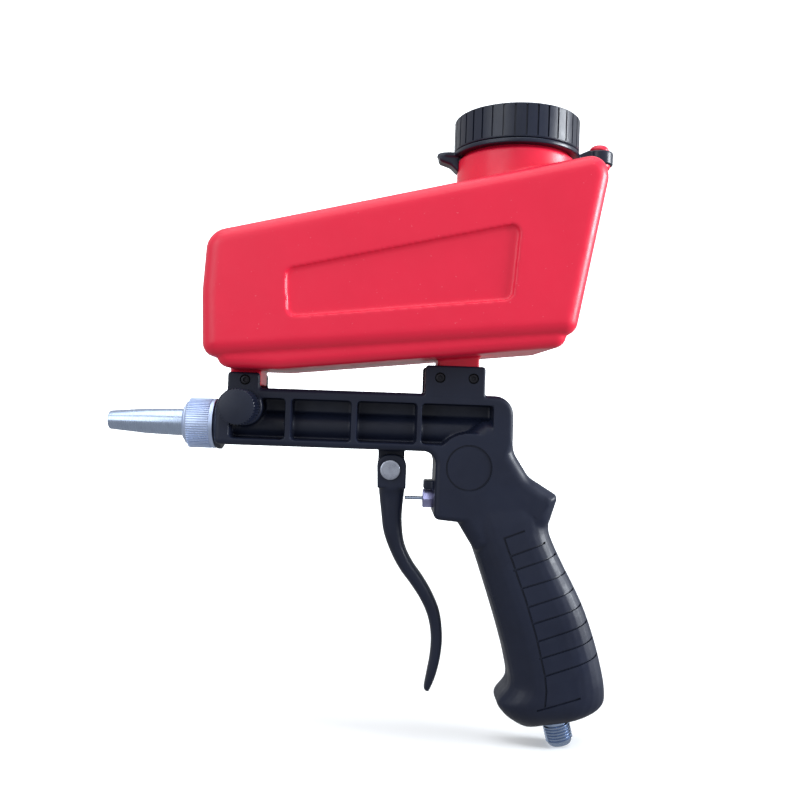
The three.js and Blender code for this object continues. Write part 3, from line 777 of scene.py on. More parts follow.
@dataclass(frozen=True)
class Moulded(Finish):
    """Plastic from a mould: slightly wavy walls, a fine grain, and flecks in its colour.

    Args:
        gloss: the specular level.
        grain: the size and the depth of its grain, in millimetres.
        swell: the size and the depth of the waves in its walls.
        fleck: the colour of the flecks.
    """

    gloss: float = 0.4
    grain: Point = (0.7, 0.012)
    swell: Point = (16, 0.12)
    fleck: Colour = (0.5, 0.5, 0.5)

    def lay(self, board: NodeBoard) -> None:
        """Lays out clouds of colour, flecks, grain and waves."""
        cloud = board.noise(22, detail=3)
        grain = board.noise(self.grain[0], detail=4, rough=0.6)
        stops = ((0.0, self.deep), (0.7, self.colour), (1.0, self.colour))
        board.colour(board.between(cloud, (0.25, 0.75), 0, 1), stops)
        ramp = board.shader.inputs["Base Color"].links[0].from_node
        speck = board.noise(0.8, detail=0)
        mix = board.tree.nodes.new("ShaderNodeMix")
        mix.data_type = "RGBA"
        board.tree.links.new(board.between(speck, (0.86, 0.89), 0, 0.3), mix.inputs["Factor"])
        board.tree.links.new(ramp.outputs["Color"], mix.inputs["A"])
        mix.inputs["B"].default_value = (*self.fleck, 1)
        board.tree.links.new(mix.outputs["Result"], board.shader.inputs["Base Color"])
        board.roughness(board.noise(5, detail=5, rough=0.65), *self.rough)
        board.relief((board.noise(self.swell[0], detail=1), self.swell[1]), (grain, self.grain[1]))
        board.fixed(Specular_IOR_Level=self.gloss)


@dataclass(frozen=True)
class TurnedMetal(Finish):
    """Metal from a lathe, with fine rings round its axis.

    Args:
        axis: the axis that it was turned about.
        ring: the width of its finest rings, in millimetres.
        depth: the depth of the rings.
    """

    axis: Axis = Axis.X
    ring: float = 0.35
    depth: float = 0.004

    def lay(self, board: NodeBoard) -> None:
        """Lays out rings round the axis, and a cloudy tarnish."""
        across = 0.02
        stretch = tuple(1.0 if i == self.axis.value else across for i in range(3))
        rings = board.noise(self.ring, detail=3, rough=0.6, stretch=stretch)
        cloud = board.noise(3.5, detail=4, rough=0.6)
        board.colour(board.between(cloud, (0.3, 0.7), 0, 1), ((0.0, self.deep), (0.6, self.colour), (1.0, self.colour)))
        board.roughness(rings, *self.rough)
        board.relief((rings, self.depth))
        board.fixed(Metallic=1.0)


@dataclass(frozen=True)
class PlainMetal(Finish):
    """Plated, blackened or cast metal, with a fine even grain.

    Args:
        grain: the size of its grain, in millimetres.
        depth: the depth of its grain.
    """

    grain: float = 0.3
    depth: float = 0.01

    def lay(self, board: NodeBoard) -> None:
        """Lays out the grain, and a cloudy tarnish."""
        grain = board.noise(self.grain, detail=3, rough=0.6)
        cloud = board.noise(2.5, detail=3)
        board.colour(board.between(cloud, (0.3, 0.7), 0, 1), ((0.0, self.deep), (0.6, self.colour), (1.0, self.colour)))
        board.roughness(cloud, *self.rough)
        board.relief((grain, self.depth))
        board.fixed(Metallic=1.0)


@dataclass(frozen=True)
class Rubber(Finish):
    """Soft black rubber, with a matt and slightly dusty skin."""

    def lay(self, board: NodeBoard) -> None:
        """Lays out a dusty bloom, and a fine skin."""
        bloom = board.noise(4, detail=4, rough=0.7)
        board.colour(board.between(bloom, (0.3, 0.7), 0, 1), ((0.0, self.colour), (1.0, self.deep)))
        board.roughness(bloom, *self.rough)
        board.relief((board.noise(0.4, detail=2), 0.015))
        board.fixed(Specular_IOR_Level=0.25)


RED_WALL = Moulded(
    "red hopper wall", "red_plastic", colour=(0.78, 0.0125, 0.050), deep=(0.75, 0.0115, 0.047), rough=(0.30, 0.42),
    gloss=0.42, grain=(0.9, 0.010), swell=(18, 0.16), fleck=(0.86, 0.25, 0.30),
)
NYLON = Moulded(
    "glass-filled nylon", "black_nylon", colour=(0.009, 0.0128, 0.030), deep=(0.0072, 0.0100, 0.024),
    rough=(0.36, 0.50), gloss=0.30, grain=(0.6, 0.014), swell=(12, 0.05), fleck=(0.03, 0.033, 0.05),
)
CAP_BLACK = Moulded(
    "black cap plastic", "black_cap", colour=(0.0085, 0.0125, 0.030), deep=(0.0062, 0.009, 0.021),
    rough=(0.28, 0.38), gloss=0.40, grain=(0.5, 0.010), swell=(9, 0.04), fleck=(0.03, 0.035, 0.05),
)
ALUMINIUM = TurnedMetal(
    "knurled aluminium", "aluminium", colour=(0.56, 0.65, 0.86), deep=(0.51, 0.60, 0.80), rough=(0.34, 0.50),
)
TURNED_STEEL = TurnedMetal(
    "turned steel", "steel", colour=(0.44, 0.52, 0.68), deep=(0.40, 0.47, 0.62), rough=(0.16, 0.30), ring=0.5,
)
CROSS_STEEL = TurnedMetal(
    "steel turned across", "steel", colour=(0.46, 0.49, 0.58), deep=(0.34, 0.36, 0.44), rough=(0.18, 0.32),
    axis=Axis.Y,
)
INLET_STEEL = TurnedMetal(
    "plated inlet steel", "steel", colour=(0.38, 0.47, 0.64), deep=(0.31, 0.39, 0.55), rough=(0.14, 0.28),
    axis=Axis.Z, depth=0.006,
)
PLATED = PlainMetal(
    "zinc-plated steel", "steel", colour=(0.40, 0.40, 0.66), deep=(0.30, 0.30, 0.50), rough=(0.28, 0.45),
)
BRASS = TurnedMetal(
    "turned brass", "brass", colour=(0.62, 0.44, 0.16), deep=(0.45, 0.30, 0.10), rough=(0.22, 0.36), axis=Axis.X,
)
BLACK_STEEL = PlainMetal(
    "blackened steel", "black_steel", colour=(0.030, 0.030, 0.036), deep=(0.018, 0.018, 0.021), rough=(0.30, 0.46),
)
SEAL_RUBBER = Rubber(
    "seal rubber", "rubber", colour=(0.012, 0.012, 0.013), deep=(0.022, 0.022, 0.023), rough=(0.62, 0.82),
)

CARRIED = (
    (ALUMINIUM, ("mixing_chamber",)),
    (TURNED_STEEL, ("air_tube", "valve_stem")),
    (CROSS_STEEL, ("metering_spindle",)),
    (PLATED, ("valve_spring", "rear_nut_1", "rear_nut_2")),
    (BRASS, ("air_jet", "valve_seat")),
    (BLACK_STEEL, ("spindle_clip", "pin_clip")),
    (SEAL_RUBBER, (
        "nozzle_seal", "spindle_seal", "stem_seal", "valve_poppet", "inlet_seal", "outlet_seal", "cap_liner",
    )),
)


def dress_carried(nodes: dict[str, bpy.types.Object]) -> None:
    """Gives the frame's own nodes that stay in view their finishes.

    Args:
        nodes: the frame's nodes by name.
    """
    for finish, names in CARRIED:
        for name in names:
            for slot in nodes[name].material_slots:
                slot.material = finish.material()
            LOG.info("%s keeps its shape, in %s", name, finish.name)


@dataclass
class SubAssembly:
    """A group of pieces that are built and dressed together.

    Args:
        bench: the modelling operations.
        body: the body that the pieces ride on.
    """

    bench: Bench
    body: str

    def fit(self, piece: bpy.types.Object, finish: Finish, *nodes: str, smooth: float = 35.0) -> bpy.types.Object:
        """Dresses a piece, and puts it in the place of nodes of the frame.

        Args:
            piece: the piece.
            finish: its finish.
            nodes: the nodes that it stands for.
            smooth: the angle in degrees past which its edges stay sharp.

        Returns:
            The piece.
        """
        self.bench.shade(piece, smooth)
        piece.data.materials.clear()
        piece.data.materials.append(finish.material())
        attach(piece, self.body)
        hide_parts(*nodes)
        LOG.info("%s: %d faces, in %s, for %s", piece.name, len(piece.data.polygons), finish.name, ", ".join(nodes))
        return piece

    def build(self) -> None:
        """Builds and dresses every piece."""
        raise NotImplementedError


@dataclass
class GunBody(SubAssembly):
    """The moulded gun: a ribbed barrel housing, two saddles for the hopper, the receiver and the grip."""

    half: float = BODY_HALF
    edge: float = 2.2
    frame: tuple[Corner, ...] = (
        (2, -9.5, 2.4), (107.4, -9.5, 6), (107.4, -41.6, 2.4), (121, -42.8, 2.4), (136, -42, 6),
        (141, -14, 8), (143.8, -4, 6), (143.4, 18, 9), (2, 18, 11),
    )
    receiver: tuple[Corner, ...] = (
        (112, -8, 1), (112, -40, 1), (119, -43, 2), (128, -57, 3), (152, -53, 6), (162.8, -42, 6),
        (166.7, -28.8, 2.6), (152.2, -20.1, 9), (144.6, -8.4, 10), (143.6, 6, 3), (130, 6, 1),
    )
    receiver_edge: float = 6.0
    windows: tuple[Point, ...] = ((9.1, 35.2), (38.2, 66.5), (69.3, 97.5), (100.1, 133.9))
    window_low: float = -6.0
    window_high: float = 13.2
    web: float = 3.0
    badge: Point = (123.2, -16.6)
    badge_radius: float = 11.0
    badge_depth: float = 0.5
    badge_ring: float = 0.8
    badge_ring_depth: float = 0.9
    boss_radius: float = 16.5
    tube_radius: float = 7.5
    spindle: Point = SPINDLE
    ear_inner: float = 11.5
    ears: tuple[Corner, ...] = ((7.7, 22.8, 25.2), (101, 129.6, 31.5))
    screws: tuple[Point, ...] = (FRONT_SCREWS, *REAR_SCREWS)
    pivot: Point = PIVOT
    valve_z: float = VALVE_Z
    inlet_end: Point = INLET_END
    inlet_lean: float = INLET_LEAN
    grip: tuple[Section, ...] = (
        Section((118, -34), (160, -30), 14.5), Section((121.5, -43.5), (163.6, -38.5), 15.5),
        Section((125.6, -51.5), (163.6, -46.5), 16), Section((130.3, -63.5), (169.2, -59), 16.5),
        Section((136.5, -81.2), (180.3, -80), 17), Section((141.6, -96.8), (187, -97.5), 17),
        Section((145.4, -110.5), (191.2, -112.5), 17), Section((146.6, -120.5), (192.7, -121), 17),
        Section((141.3, -128.5), (192.4, -127.5), 17), Section((144.5, -134.5), (188.5, -131.9), 15.5),
        Section((150.5, -139), (181.5, -135.6), 12), Section((155, -141.6), (172, -138.4), 7),
    )
    groove_rows: tuple[tuple[Point, Point], ...] = (
        ((140.8, -48.9), (149.9, -45.3)), ((144.6, -57), (160.3, -50.7)), ((145.9, -63.8), (166, -56.3)),
        ((150, -72), (172, -64.6)), ((152.8, -80.8), (178, -71.6)), ((155.4, -88.6), (182, -79)),
        ((157.8, -96.8), (186, -86.4)), ((159.5, -104.7), (189, -94.4)), ((162, -112.9), (192, -102)),
        ((159.3, -129.2), (178.7, -122.8)),
    )
    groove_column: tuple[Point, ...] = (
        (140.8, -48.9), (143, -54.9), (145.2, -60.2), (148.2, -68.4), (151.6, -77), (154.2, -85),
        (156.8, -93), (159, -101), (162, -112.9), (162.9, -120), (162.5, -127.4),
    )
    grip_softness: float = 32.0
    groove_width: float = 0.9
    groove_depth: float = 0.8

    def pocketed_frame(self) -> bpy.types.Object:
        """Makes the housing's plate, with a row of windows sunk in both sides."""
        bench = self.bench
        plate = bench.slab("gun_body_moulded", self.frame, self.half, self.edge, segments=4, arc=8)
        depth = self.half + 1 - self.web
        for start, end in self.windows:
            corners = (
                (start, self.window_low, 1.5), (end, self.window_low, 1.5), (end, self.window_high, 1.5),
                (start, self.window_high, 1.5),
            )
            for side in (-1, 1):
                pocket = bench.slab("pocket", corners, depth / 2, y=side * (self.web + depth / 2), arc=5)
                boss = bench.drum("boss", Axis.Y, -CLEAR, CLEAR, self.badge, self.boss_radius, facets=96)
                bench.combine(plate, Join.CUT, bench.combine(pocket, Join.CUT, boss))
        return plate

    def saddle_ears(self) -> list[bpy.types.Object]:
        """Makes the four ears that hold the hopper's feet."""
        middle = (self.half + self.ear_inner) / 2
        base = 16.0
        return [
            self.bench.slab(
                "ear", ((start, base, 0), (end, base, 0), (end, top, 1.5), (start, top, 1.5)),
                (self.half - self.ear_inner) / 2, 0.5, y=side * middle, segments=2,
            )
            for start, end, top in self.ears for side in (-1, 1)
        ]

    def lug(self) -> bpy.types.Object:
        """Makes the lug that the trigger hangs on."""
        x, z = self.pivot
        low = z - 6.5
        corners = ((x - 6, -7.5, 0), (x - 6, low, 5), (x + 6.8, low, 5), (x + 6.8, -7.5, 0))
        return self.bench.slab("lug", corners, 4, 0.6)

    def bores(self) -> list[bpy.types.Object]:
        """Makes the cutters for the barrel, the valves, the pin, the air passage and the screws."""
        bench = self.bench
        beyond = self.half + 1
        x, z = self.inlet_end
        cutters = [
            bench.drum("bore", Axis.X, -1, 118, (0, 0), 5.5),
            bench.drum("bore", Axis.X, -1, 8, (0, 0), 8.5),
            bench.drum("bore", Axis.Z, 0, 19, (self.spindle[0], 0), 3.4),
            bench.drum("bore", Axis.Z, 16.3, 19, (self.spindle[0], 0), 6.2),
            bench.drum("bore", Axis.Y, -beyond, beyond, self.spindle, 3.6),
            bench.drum("bore", Axis.Y, -11.2, -8.8, self.spindle, 5.1),
            bench.drum("bore", Axis.Y, -5, 5, self.pivot, 2.6),
            bench.drum("bore", Axis.X, 106.4, 134, (0, self.valve_z), 4.5),
            bench.tilt(bench.drum("bore", Axis.Z, z - 10, z + 29, (x, 0), 7.0), (x, 0, z), -self.inlet_lean),
        ]
        for place in self.screws:
            cutters += [
                bench.drum("bore", Axis.Y, -beyond, beyond, place, 1.6, facets=32),
                bench.drum("bore", Axis.Y, -beyond, -self.half + 2.2, place, 2.5, facets=48),
                bench.drum("bore", Axis.Y, self.half - 2.2, beyond, place, 3.0, facets=48),
            ]
        return cutters

    def badges(self) -> list[bpy.types.Object]:
        """Makes the cutters for a shallow round recess in each side, with a plain ring round it."""
        bench = self.bench
        cutters = []
        for side in (-1, 1):
            face = side * self.half
            ends = sorted((face - side * self.badge_depth, face + side))
            cutters.append(bench.drum("recess", Axis.Y, *ends, self.badge, self.badge_radius, facets=128))
            ends = sorted((face - side * self.badge_ring_depth, face + side))
            ring = bench.drum("ring", Axis.Y, *ends, self.badge, self.badge_radius, facets=128)
            inside = self.badge_radius - self.badge_ring
            core = bench.drum("core", Axis.Y, -CLEAR, CLEAR, self.badge, inside, facets=128)
            cutters.append(bench.combine(ring, Join.CUT, core))
        return cutters

    def groove(self, start: Point, end: Point) -> bpy.types.Object:
        """Makes a thin plate that stands across the grip along one groove."""
        along = (Vector(end) - Vector(start)).normalized()
        aside = Vector((-along.y, along.x)) * self.groove_width / 2
        reach = along * self.groove_width / 2
        near, far = Vector(start) - reach, Vector(end) + reach
        corners = [(*spot, 0) for spot in (near - aside, far - aside, far + aside, near + aside)]
        return self.bench.slab("groove", corners, CLEAR)

    def grooves(self) -> bpy.types.Object:
        """Makes the cutter for the grip's grooves, which all have one depth."""
        bench = self.bench
        lines = [*self.groove_rows, *zip(self.groove_column, self.groove_column[1:])]
        first, *others = (self.groove(start, end) for start, end in lines)
        cutter = bench.combine(first, Join.ADD, *others)
        smaller = []
        for section in smooth_sections(self.grip, 4):
            front, back = Vector(section.front), Vector(section.back)
            step = (back - front).normalized() * self.groove_depth
            smaller.append(Section(tuple(front + step), tuple(back - step), section.half - self.groove_depth))
        core = bench.handle("core", smaller, (0, 0), self.grip_softness)
        return bench.combine(cutter, Join.CUT, core)

    def build(self) -> None:
        """Builds the gun's moulding."""
        bench = self.bench
        body = self.pocketed_frame()
        added = [
            bench.drum("tube", Axis.X, 0, self.windows[-1][1] + 2, (0, 0), self.tube_radius, facets=96),
            bench.drum("boss", Axis.Y, -self.half, self.half, self.spindle, 9, rim=0.6),
            bench.slab("receiver", self.receiver, self.half, self.receiver_edge, segments=8, arc=8),
            bench.drum("flange", Axis.X, 0.9, 3.7, (0, 0), 12.5, facets=96, rim=0.5),
            self.lug(),
            bench.block("stop", (102.6, -5, -28.4), (109.4, 5, -24), edge=0.4),
            bench.handle("grip", smooth_sections(self.grip, 4), (0, 0), self.grip_softness),
            *self.saddle_ears(),
        ]
        bench.combine(body, Join.ADD, *added)
        bench.mould(body, voxel=0.6, smooth=3, keep=0.3)
        bench.combine(body, Join.CUT, *self.bores(), *self.badges(), self.grooves())
        self.fit(body, NYLON, "gun_body", smooth=40)


@dataclass
class Screws(SubAssembly):
    """The socket screws that hold the hopper in its saddles."""

    half: float = BODY_HALF
    sunk: float = 0.3
    head_radius: float = 2.1
    shank_radius: float = 1.4
    socket_radius: float = 1.15
    places: tuple[tuple[str, Point, int, float], ...] = (
        ("front_screw_1", FRONT_SCREWS, -1, 8), ("front_screw_2", FRONT_SCREWS, 1, 8),
        ("rear_screw_1", REAR_SCREWS[0], -1, 29), ("rear_screw_2", REAR_SCREWS[1], -1, 29),
    )

    def build(self) -> None:
        """Builds each screw with its socket."""
        bench = self.bench
        for node, place, side, length in self.places:
            outer = side * (self.half - self.sunk)
            inner = outer - side * 1.8
            tip = outer - side * length
            ends = sorted((outer, inner))
            screw = bench.drum(f"{node}_turned", Axis.Y, *ends, place, self.head_radius, facets=48, rim=0.3)
            shank = bench.drum("shank", Axis.Y, *sorted((inner + side * 0.2, tip)), place, self.shank_radius, facets=32)
            socket_ends = sorted((outer + side, outer - side * 1.3))
            socket = bench.drum("socket", Axis.Y, *socket_ends, place, self.socket_radius, facets=6)
            bench.combine(screw, Join.ADD, shank)
            bench.combine(screw, Join.CUT, socket)
            self.fit(screw, BLACK_STEEL, node)


@dataclass
class Nozzle(SubAssembly):
    """The tapered steel nozzle, which the collar holds."""

    profile: tuple[Point, ...] = (
        (-12.2, 3.8), (-12.2, 8.2), (-13.6, 8.2), (-13.6, 6.6), (-17, 6.6), (-34, 6.1), (-50.6, 4.65),
        (-51.6, 4.5), (-52, 4.1), (-52, 2.7), (-51.7, 2.6), (-40, 2.6),
    )

    def build(self) -> None:
        """Builds the nozzle."""
        nozzle = self.bench.turned("nozzle_turned", Axis.X, (0, 0), self.profile)
        self.fit(nozzle, TURNED_STEEL, "nozzle")


@dataclass
class Collar(SubAssembly):
    """The knurled aluminium collar, which screws on the mixing chamber."""

    radius: float = 12.2
    inner: float = 10.3
    ribs: int = 64
    profile: tuple[Point, ...] = (
        (-15, 6.9), (-15, 8.6), (-12.6, 11.4), (-12.0, 11.75), (-1.0, 11.75), (-0.8, 12.2), (0.3, 12.2), (0.6, 11.9),
        (0.6, 10.3), (-13.8, 10.3), (-13.8, 6.9),
    )

    def build(self) -> None:
        """Builds the collar with its ribs."""
        bench = self.bench
        collar = bench.turned("nozzle_collar_knurled", Axis.X, (0, 0), self.profile, steps=128)
        rib = bench.block("rib", (-12.4, -0.30, self.radius - 1.2), (-1.6, 0.30, self.radius), edge=0.18)
        bench.combine(collar, Join.ADD, bench.copies(rib, Axis.X, (0, 0), self.ribs))
        self.fit(collar, ALUMINIUM, "nozzle_collar")


@dataclass
class MeteringKnob(SubAssembly):
    """The serrated knob that turns the metering spindle."""

    centre: Point = SPINDLE
    radius: float = 8.3
    front: float = -33.0
    back: float = -16.6
    teeth: int = 36
    notch: float = 0.84

    def build(self) -> None:
        """Builds the knob with its teeth, and the socket that the spindle is pressed into."""
        bench = self.bench
        x, z = self.centre
        knob = bench.drum("metering_knob_serrated", Axis.Y, self.front, self.back, self.centre, self.radius, rim=0.7)
        hub = bench.drum("hub", Axis.Y, self.back - 0.1, -15.5, self.centre, 6.4)
        bench.combine(knob, Join.ADD, hub)
        rim, size = z + self.radius, self.notch / 2
        notch = bench.block(
            "notch", (x - size, self.front - 1, rim - size), (x + size, self.front - 1 + CLEAR, rim + size),
        )
        bench.tilt(notch, (x, 0, rim), 45)
        cutters = bench.copies(notch, Axis.Y, (x, z), self.teeth)
        bench.combine(knob, Join.CUT, cutters)
        socket = bench.drum("socket", Axis.Y, -24.3, -15, self.centre, 3.65)
        bench.combine(knob, Join.CUT, socket)
        self.fit(knob, CAP_BLACK, "metering_knob")


@dataclass
class Trigger(SubAssembly):
    """The curved lever, and the pin that it turns on. The lever's sections are measured from the pin."""

    pivot: Point = PIVOT
    half: float = 8.0
    slot_half: float = 4.4
    pin_radius: float = 2.5
    softness: float = 42.0
    lever: tuple[Section, ...] = (
        Section((-5.9, -4.5), (7.6, -4.5), 8), Section((-5.3, -9), (7.6, -9), 8),
        Section((-4.9, -12.5), (7.2, -12.5), 6.8),
        Section((-3.6, -22), (6.6, -21.5), 6.5), Section((-2.1, -31), (7, -29.5), 6.2),
        Section((1.4, -40), (8.5, -37), 5.8), Section((6.1, -48.4), (12.4, -44.8), 5.4),
        Section((12, -56), (17.6, -51.8), 5.1), Section((17.2, -63.6), (22.6, -59.8), 4.9),
        Section((20.9, -71.6), (26.6, -69), 4.7), Section((22.7, -80.6), (28.3, -80.4), 4.6),
        Section((22.6, -90), (27.8, -90.4), 4.5), Section((21.2, -99.4), (25.8, -100), 4.2),
        Section((20.2, -106), (23.2, -107), 3), Section((20.9, -108), (22.4, -108.2), 1.4),
    )

    def build(self) -> None:
        """Builds the lever and its pin."""
        bench = self.bench
        x, z = self.pivot
        lever = bench.handle("trigger_lever", smooth_sections(self.lever, 4), self.pivot, self.softness)
        cheeks = bench.slab(
            "cheeks", ((x - 5.9, z - 9, 0), (x - 6.6, z + 7.4, 5.6), (x + 7.8, z + 7.4, 5.6), (x + 7.8, z - 9, 0)),
            self.half, 0.8,
        )
        bench.combine(lever, Join.ADD, cheeks)
        bench.mould(lever, voxel=0.35, smooth=3, keep=0.4)
        slot = bench.block("slot", (x - 12, -self.slot_half, z - 7.6), (x + 12, self.slot_half, z + 12))
        bore = bench.drum("bore", Axis.Y, -12, 12, self.pivot, self.pin_radius + 0.08)
        bench.combine(lever, Join.CUT, slot, bore)
        self.fit(lever, NYLON, "trigger", smooth=45)

        ends = (-self.half - 0.5, self.half + 1.8)
        pin = bench.drum("trigger_pin_turned", Axis.Y, *ends, self.pivot, self.pin_radius, rim=0.3)
        head = bench.drum("head", Axis.Y, -self.half - 1.5, -self.half - 0.2, self.pivot, 4.8, rim=0.35)
        bench.combine(pin, Join.ADD, head)
        groove = bench.drum("groove", Axis.Y, -self.half - 2, -self.half - 1.25, self.pivot, 3.7)
        core = bench.drum("core", Axis.Y, -12, 12, self.pivot, 3.35)
        bench.combine(pin, Join.CUT, bench.combine(groove, Join.CUT, core))
        self.fit(pin, CROSS_STEEL, "trigger_pin")


@dataclass
class ValveNut(SubAssembly):
    """The hexagonal nut that holds the air valve in the receiver."""

    height: float = VALVE_Z
    start: float = 102.4
    end: float = 107.25
    radius: float = 4.9

    def build(self) -> None:
        """Builds the chamfered nut with its threaded shank."""
        bench = self.bench
        centre = (0, self.height)
        nut = bench.drum("valve_nut_hexagonal", Axis.X, self.start, self.end, centre, self.radius, facets=6, rim=0.2)
        chamfer = bench.drum("chamfer", Axis.X, self.start - 0.01, 108, centre, 4.5, 12, facets=96)
        bench.combine(nut, Join.KEEP, chamfer)
        shank = bench.drum("shank", Axis.X, self.end - 0.2, 112, centre, 4.15)
        hole = bench.drum("hole", Axis.X, 100, 113, centre, 2.3)
        seat = bench.drum("seat", Axis.X, 110.2, 113, centre, 3.4)
        bench.combine(nut, Join.ADD, shank)
        bench.combine(nut, Join.CUT, hole, seat)
        self.fit(nut, PLATED, "valve_nut")


@dataclass
class Inlet(SubAssembly):
    """The threaded air inlet in the heel of the grip."""

    end: Point = INLET_END
    lean: float = INLET_LEAN
    crest: float = 6.58
    pitch: float = 1.41
    profile: tuple[Point, ...] = (
        (0, 3.6), (0, 5.2), (0.9, 5.8), (10.9, 5.8), (11.6, 5.5), (12.4, 5.5), (12.6, 6.3), (26.5, 6.3), (26.5, 3.6),
    )

    def build(self) -> None:
        """Builds the fitting upright, and leans it with the grip."""
        bench = self.bench
        x, z = self.end
        profile = [(z + along, radius) for along, radius in self.profile]
        fitting = bench.turned("inlet_fitting_threaded", Axis.Z, (x, 0), profile)
        thread = bench.helix(
            "thread", (x, 0), z + 0.8 + self.pitch / 2, 5.6, self.crest, self.pitch, 6, self.pitch * 0.46, 0.12,
        )
        bench.combine(fitting, Join.ADD, thread)
        for side in (-1, 1):
            low, high = sorted((side * 5.6, side * 9))
            flat = bench.block("flat", (x - 9, low, z + 12.9), (x + 9, high, z + 17.5))
            bench.combine(fitting, Join.CUT, flat)
        bench.tilt(fitting, (x, 0, z), -self.lean)
        self.fit(fitting, INLET_STEEL, "inlet_fitting")


@dataclass
class Hopper(SubAssembly):
    """The blow-moulded hopper: a rounded shell over a narrower skirt, its feet, its neck and the tether's stud."""

    half: float = 38.0
    edge: float = 7.0
    wall: float = 2.2
    side: tuple[Corner, ...] = (
        (-0.6, 30.2, 6.5), (-1.8, 60, 12), (-0.2, 87.4, 10), (177.6, 129.2, 8), (180, 118, 6.2), (167.2, 46.4, 6.5),
    )
    skirt_step: float = 3.5
    skirt: tuple[Corner, ...] = (
        (6.5, 26.5, 5), (3.5, 42, 4), (162, 58, 4), (164.4, 41, 6), (33, 26.5, 20),
    )
    panel: tuple[Corner, ...] = ((36, 70.9, 4), (37.5, 49.6, 4), (137.6, 60.8, 4), (140.2, 95.2, 4))
    panel_depth: float = 1.6
    neck_x: float = NECK_X
    neck_radius: float = 28.4
    shoulder: float = 132.3
    finish_radius: float = 26.2
    finish_top: float = 146.3
    bore_radius: float = 23.8
    stud_x: float = STUD_X
    ledge_top: float = 134.4
    outlet_x: float = SPINDLE[0]
    screws: tuple[Point, ...] = (FRONT_SCREWS, *REAR_SCREWS)

    def feet(self) -> list[bpy.types.Object]:
        """Makes the blocks that stand in the saddles."""
        corners = (
            ((8.1, -11, 18.9), (22.7, 11, 33)), ((107, -11, 30), (127, 11, 42)), ((102, -11, 18.6), (129, 11, 30.6)),
        )
        return [self.bench.block("foot", low, high, edge=0.6) for low, high in corners]

    def stud(self) -> list[bpy.types.Object]:
        """Makes the ledge and the domed stud that the cap's tether hooks on."""
        bench = self.bench
        ledge = bench.slab(
            "ledge", ((172, 116, 0), (174, 126, 0), (179.2, self.ledge_top, 1), (184, self.ledge_top, 1),
                      (184, self.ledge_top - 4, 1)), 5.5, 1.0,
        )
        place = (self.stud_x, 0)
        pad = bench.drum("pad", Axis.Z, self.ledge_top - 4, self.ledge_top, place, 5.6, rim=0.5)
        stem = bench.drum("stem", Axis.Z, self.ledge_top - 1, 139.1, place, 2.6)
        head = bench.drum("head", Axis.Z, 138.8, 140.2, place, 5.0, rim=0.4)
        dome = bench.drum("dome", Axis.Z, 140.1, 142.2, place, 4.95, 3.2, rim=0.9)
        return [ledge, pad, stem, head, dome]

    def hollow(self) -> list[bpy.types.Object]:
        """Makes the cutters for the inside, the neck, the outlet and the screws."""
        bench = self.bench
        inner = self.half - self.wall
        cutters = [
            bench.slab("cavity", inset(self.side, self.wall, 2), inner, self.edge - self.wall),
            bench.slab("cavity", inset(self.skirt, self.wall, 2), inner - self.skirt_step, 1.5),
            bench.drum("bore", Axis.Z, 110, 160, (self.neck_x, 0), self.bore_radius, facets=96),
            bench.drum("bore", Axis.Z, 10, 40, (self.outlet_x, 0), 4.4),
        ]
        cutters += [bench.drum("bore", Axis.Y, -12, 12, place, 1.55, facets=32) for place in self.screws[1:]]
        for ends in ((-12, -6), (6, 12)):
            cutters.append(bench.drum("bore", Axis.Y, *ends, self.screws[0], 1.55, facets=32))
        return cutters

    def build(self) -> None:
        """Builds the hopper."""
        bench = self.bench
        hopper = bench.slab("hopper_blown", self.side, self.half, self.edge, segments=8, arc=10)
        bench.combine(
            hopper, Join.ADD,
            bench.slab("skirt", self.skirt, self.half - self.skirt_step, 5.0, segments=6, arc=8),
            bench.drum("neck", Axis.Z, 112, self.shoulder, (self.neck_x, 0), self.neck_radius, facets=128, rim=1.2),
            bench.drum(
                "finish", Axis.Z, 131, self.finish_top, (self.neck_x, 0), self.finish_radius, facets=128, rim=0.6,
            ),
        )
        for side in (-1, 1):
            panel = bench.slab("panel", self.panel, self.panel_depth, y=side * self.half)
            bench.combine(hopper, Join.CUT, panel)
        bench.combine(hopper, Join.ADD, *self.feet(), *self.stud())
        bench.mould(hopper, voxel=0.7, smooth=4, keep=0.3)
        bench.combine(hopper, Join.CUT, *self.hollow())
        thread = bench.helix("thread", (self.neck_x, 0), 137.6, 25.8, 27.3, 4.0, 1, 0.9, 0.4, steps=96)
        bench.combine(hopper, Join.ADD, thread)
        self.fit(hopper, RED_WALL, "hopper", smooth=40)


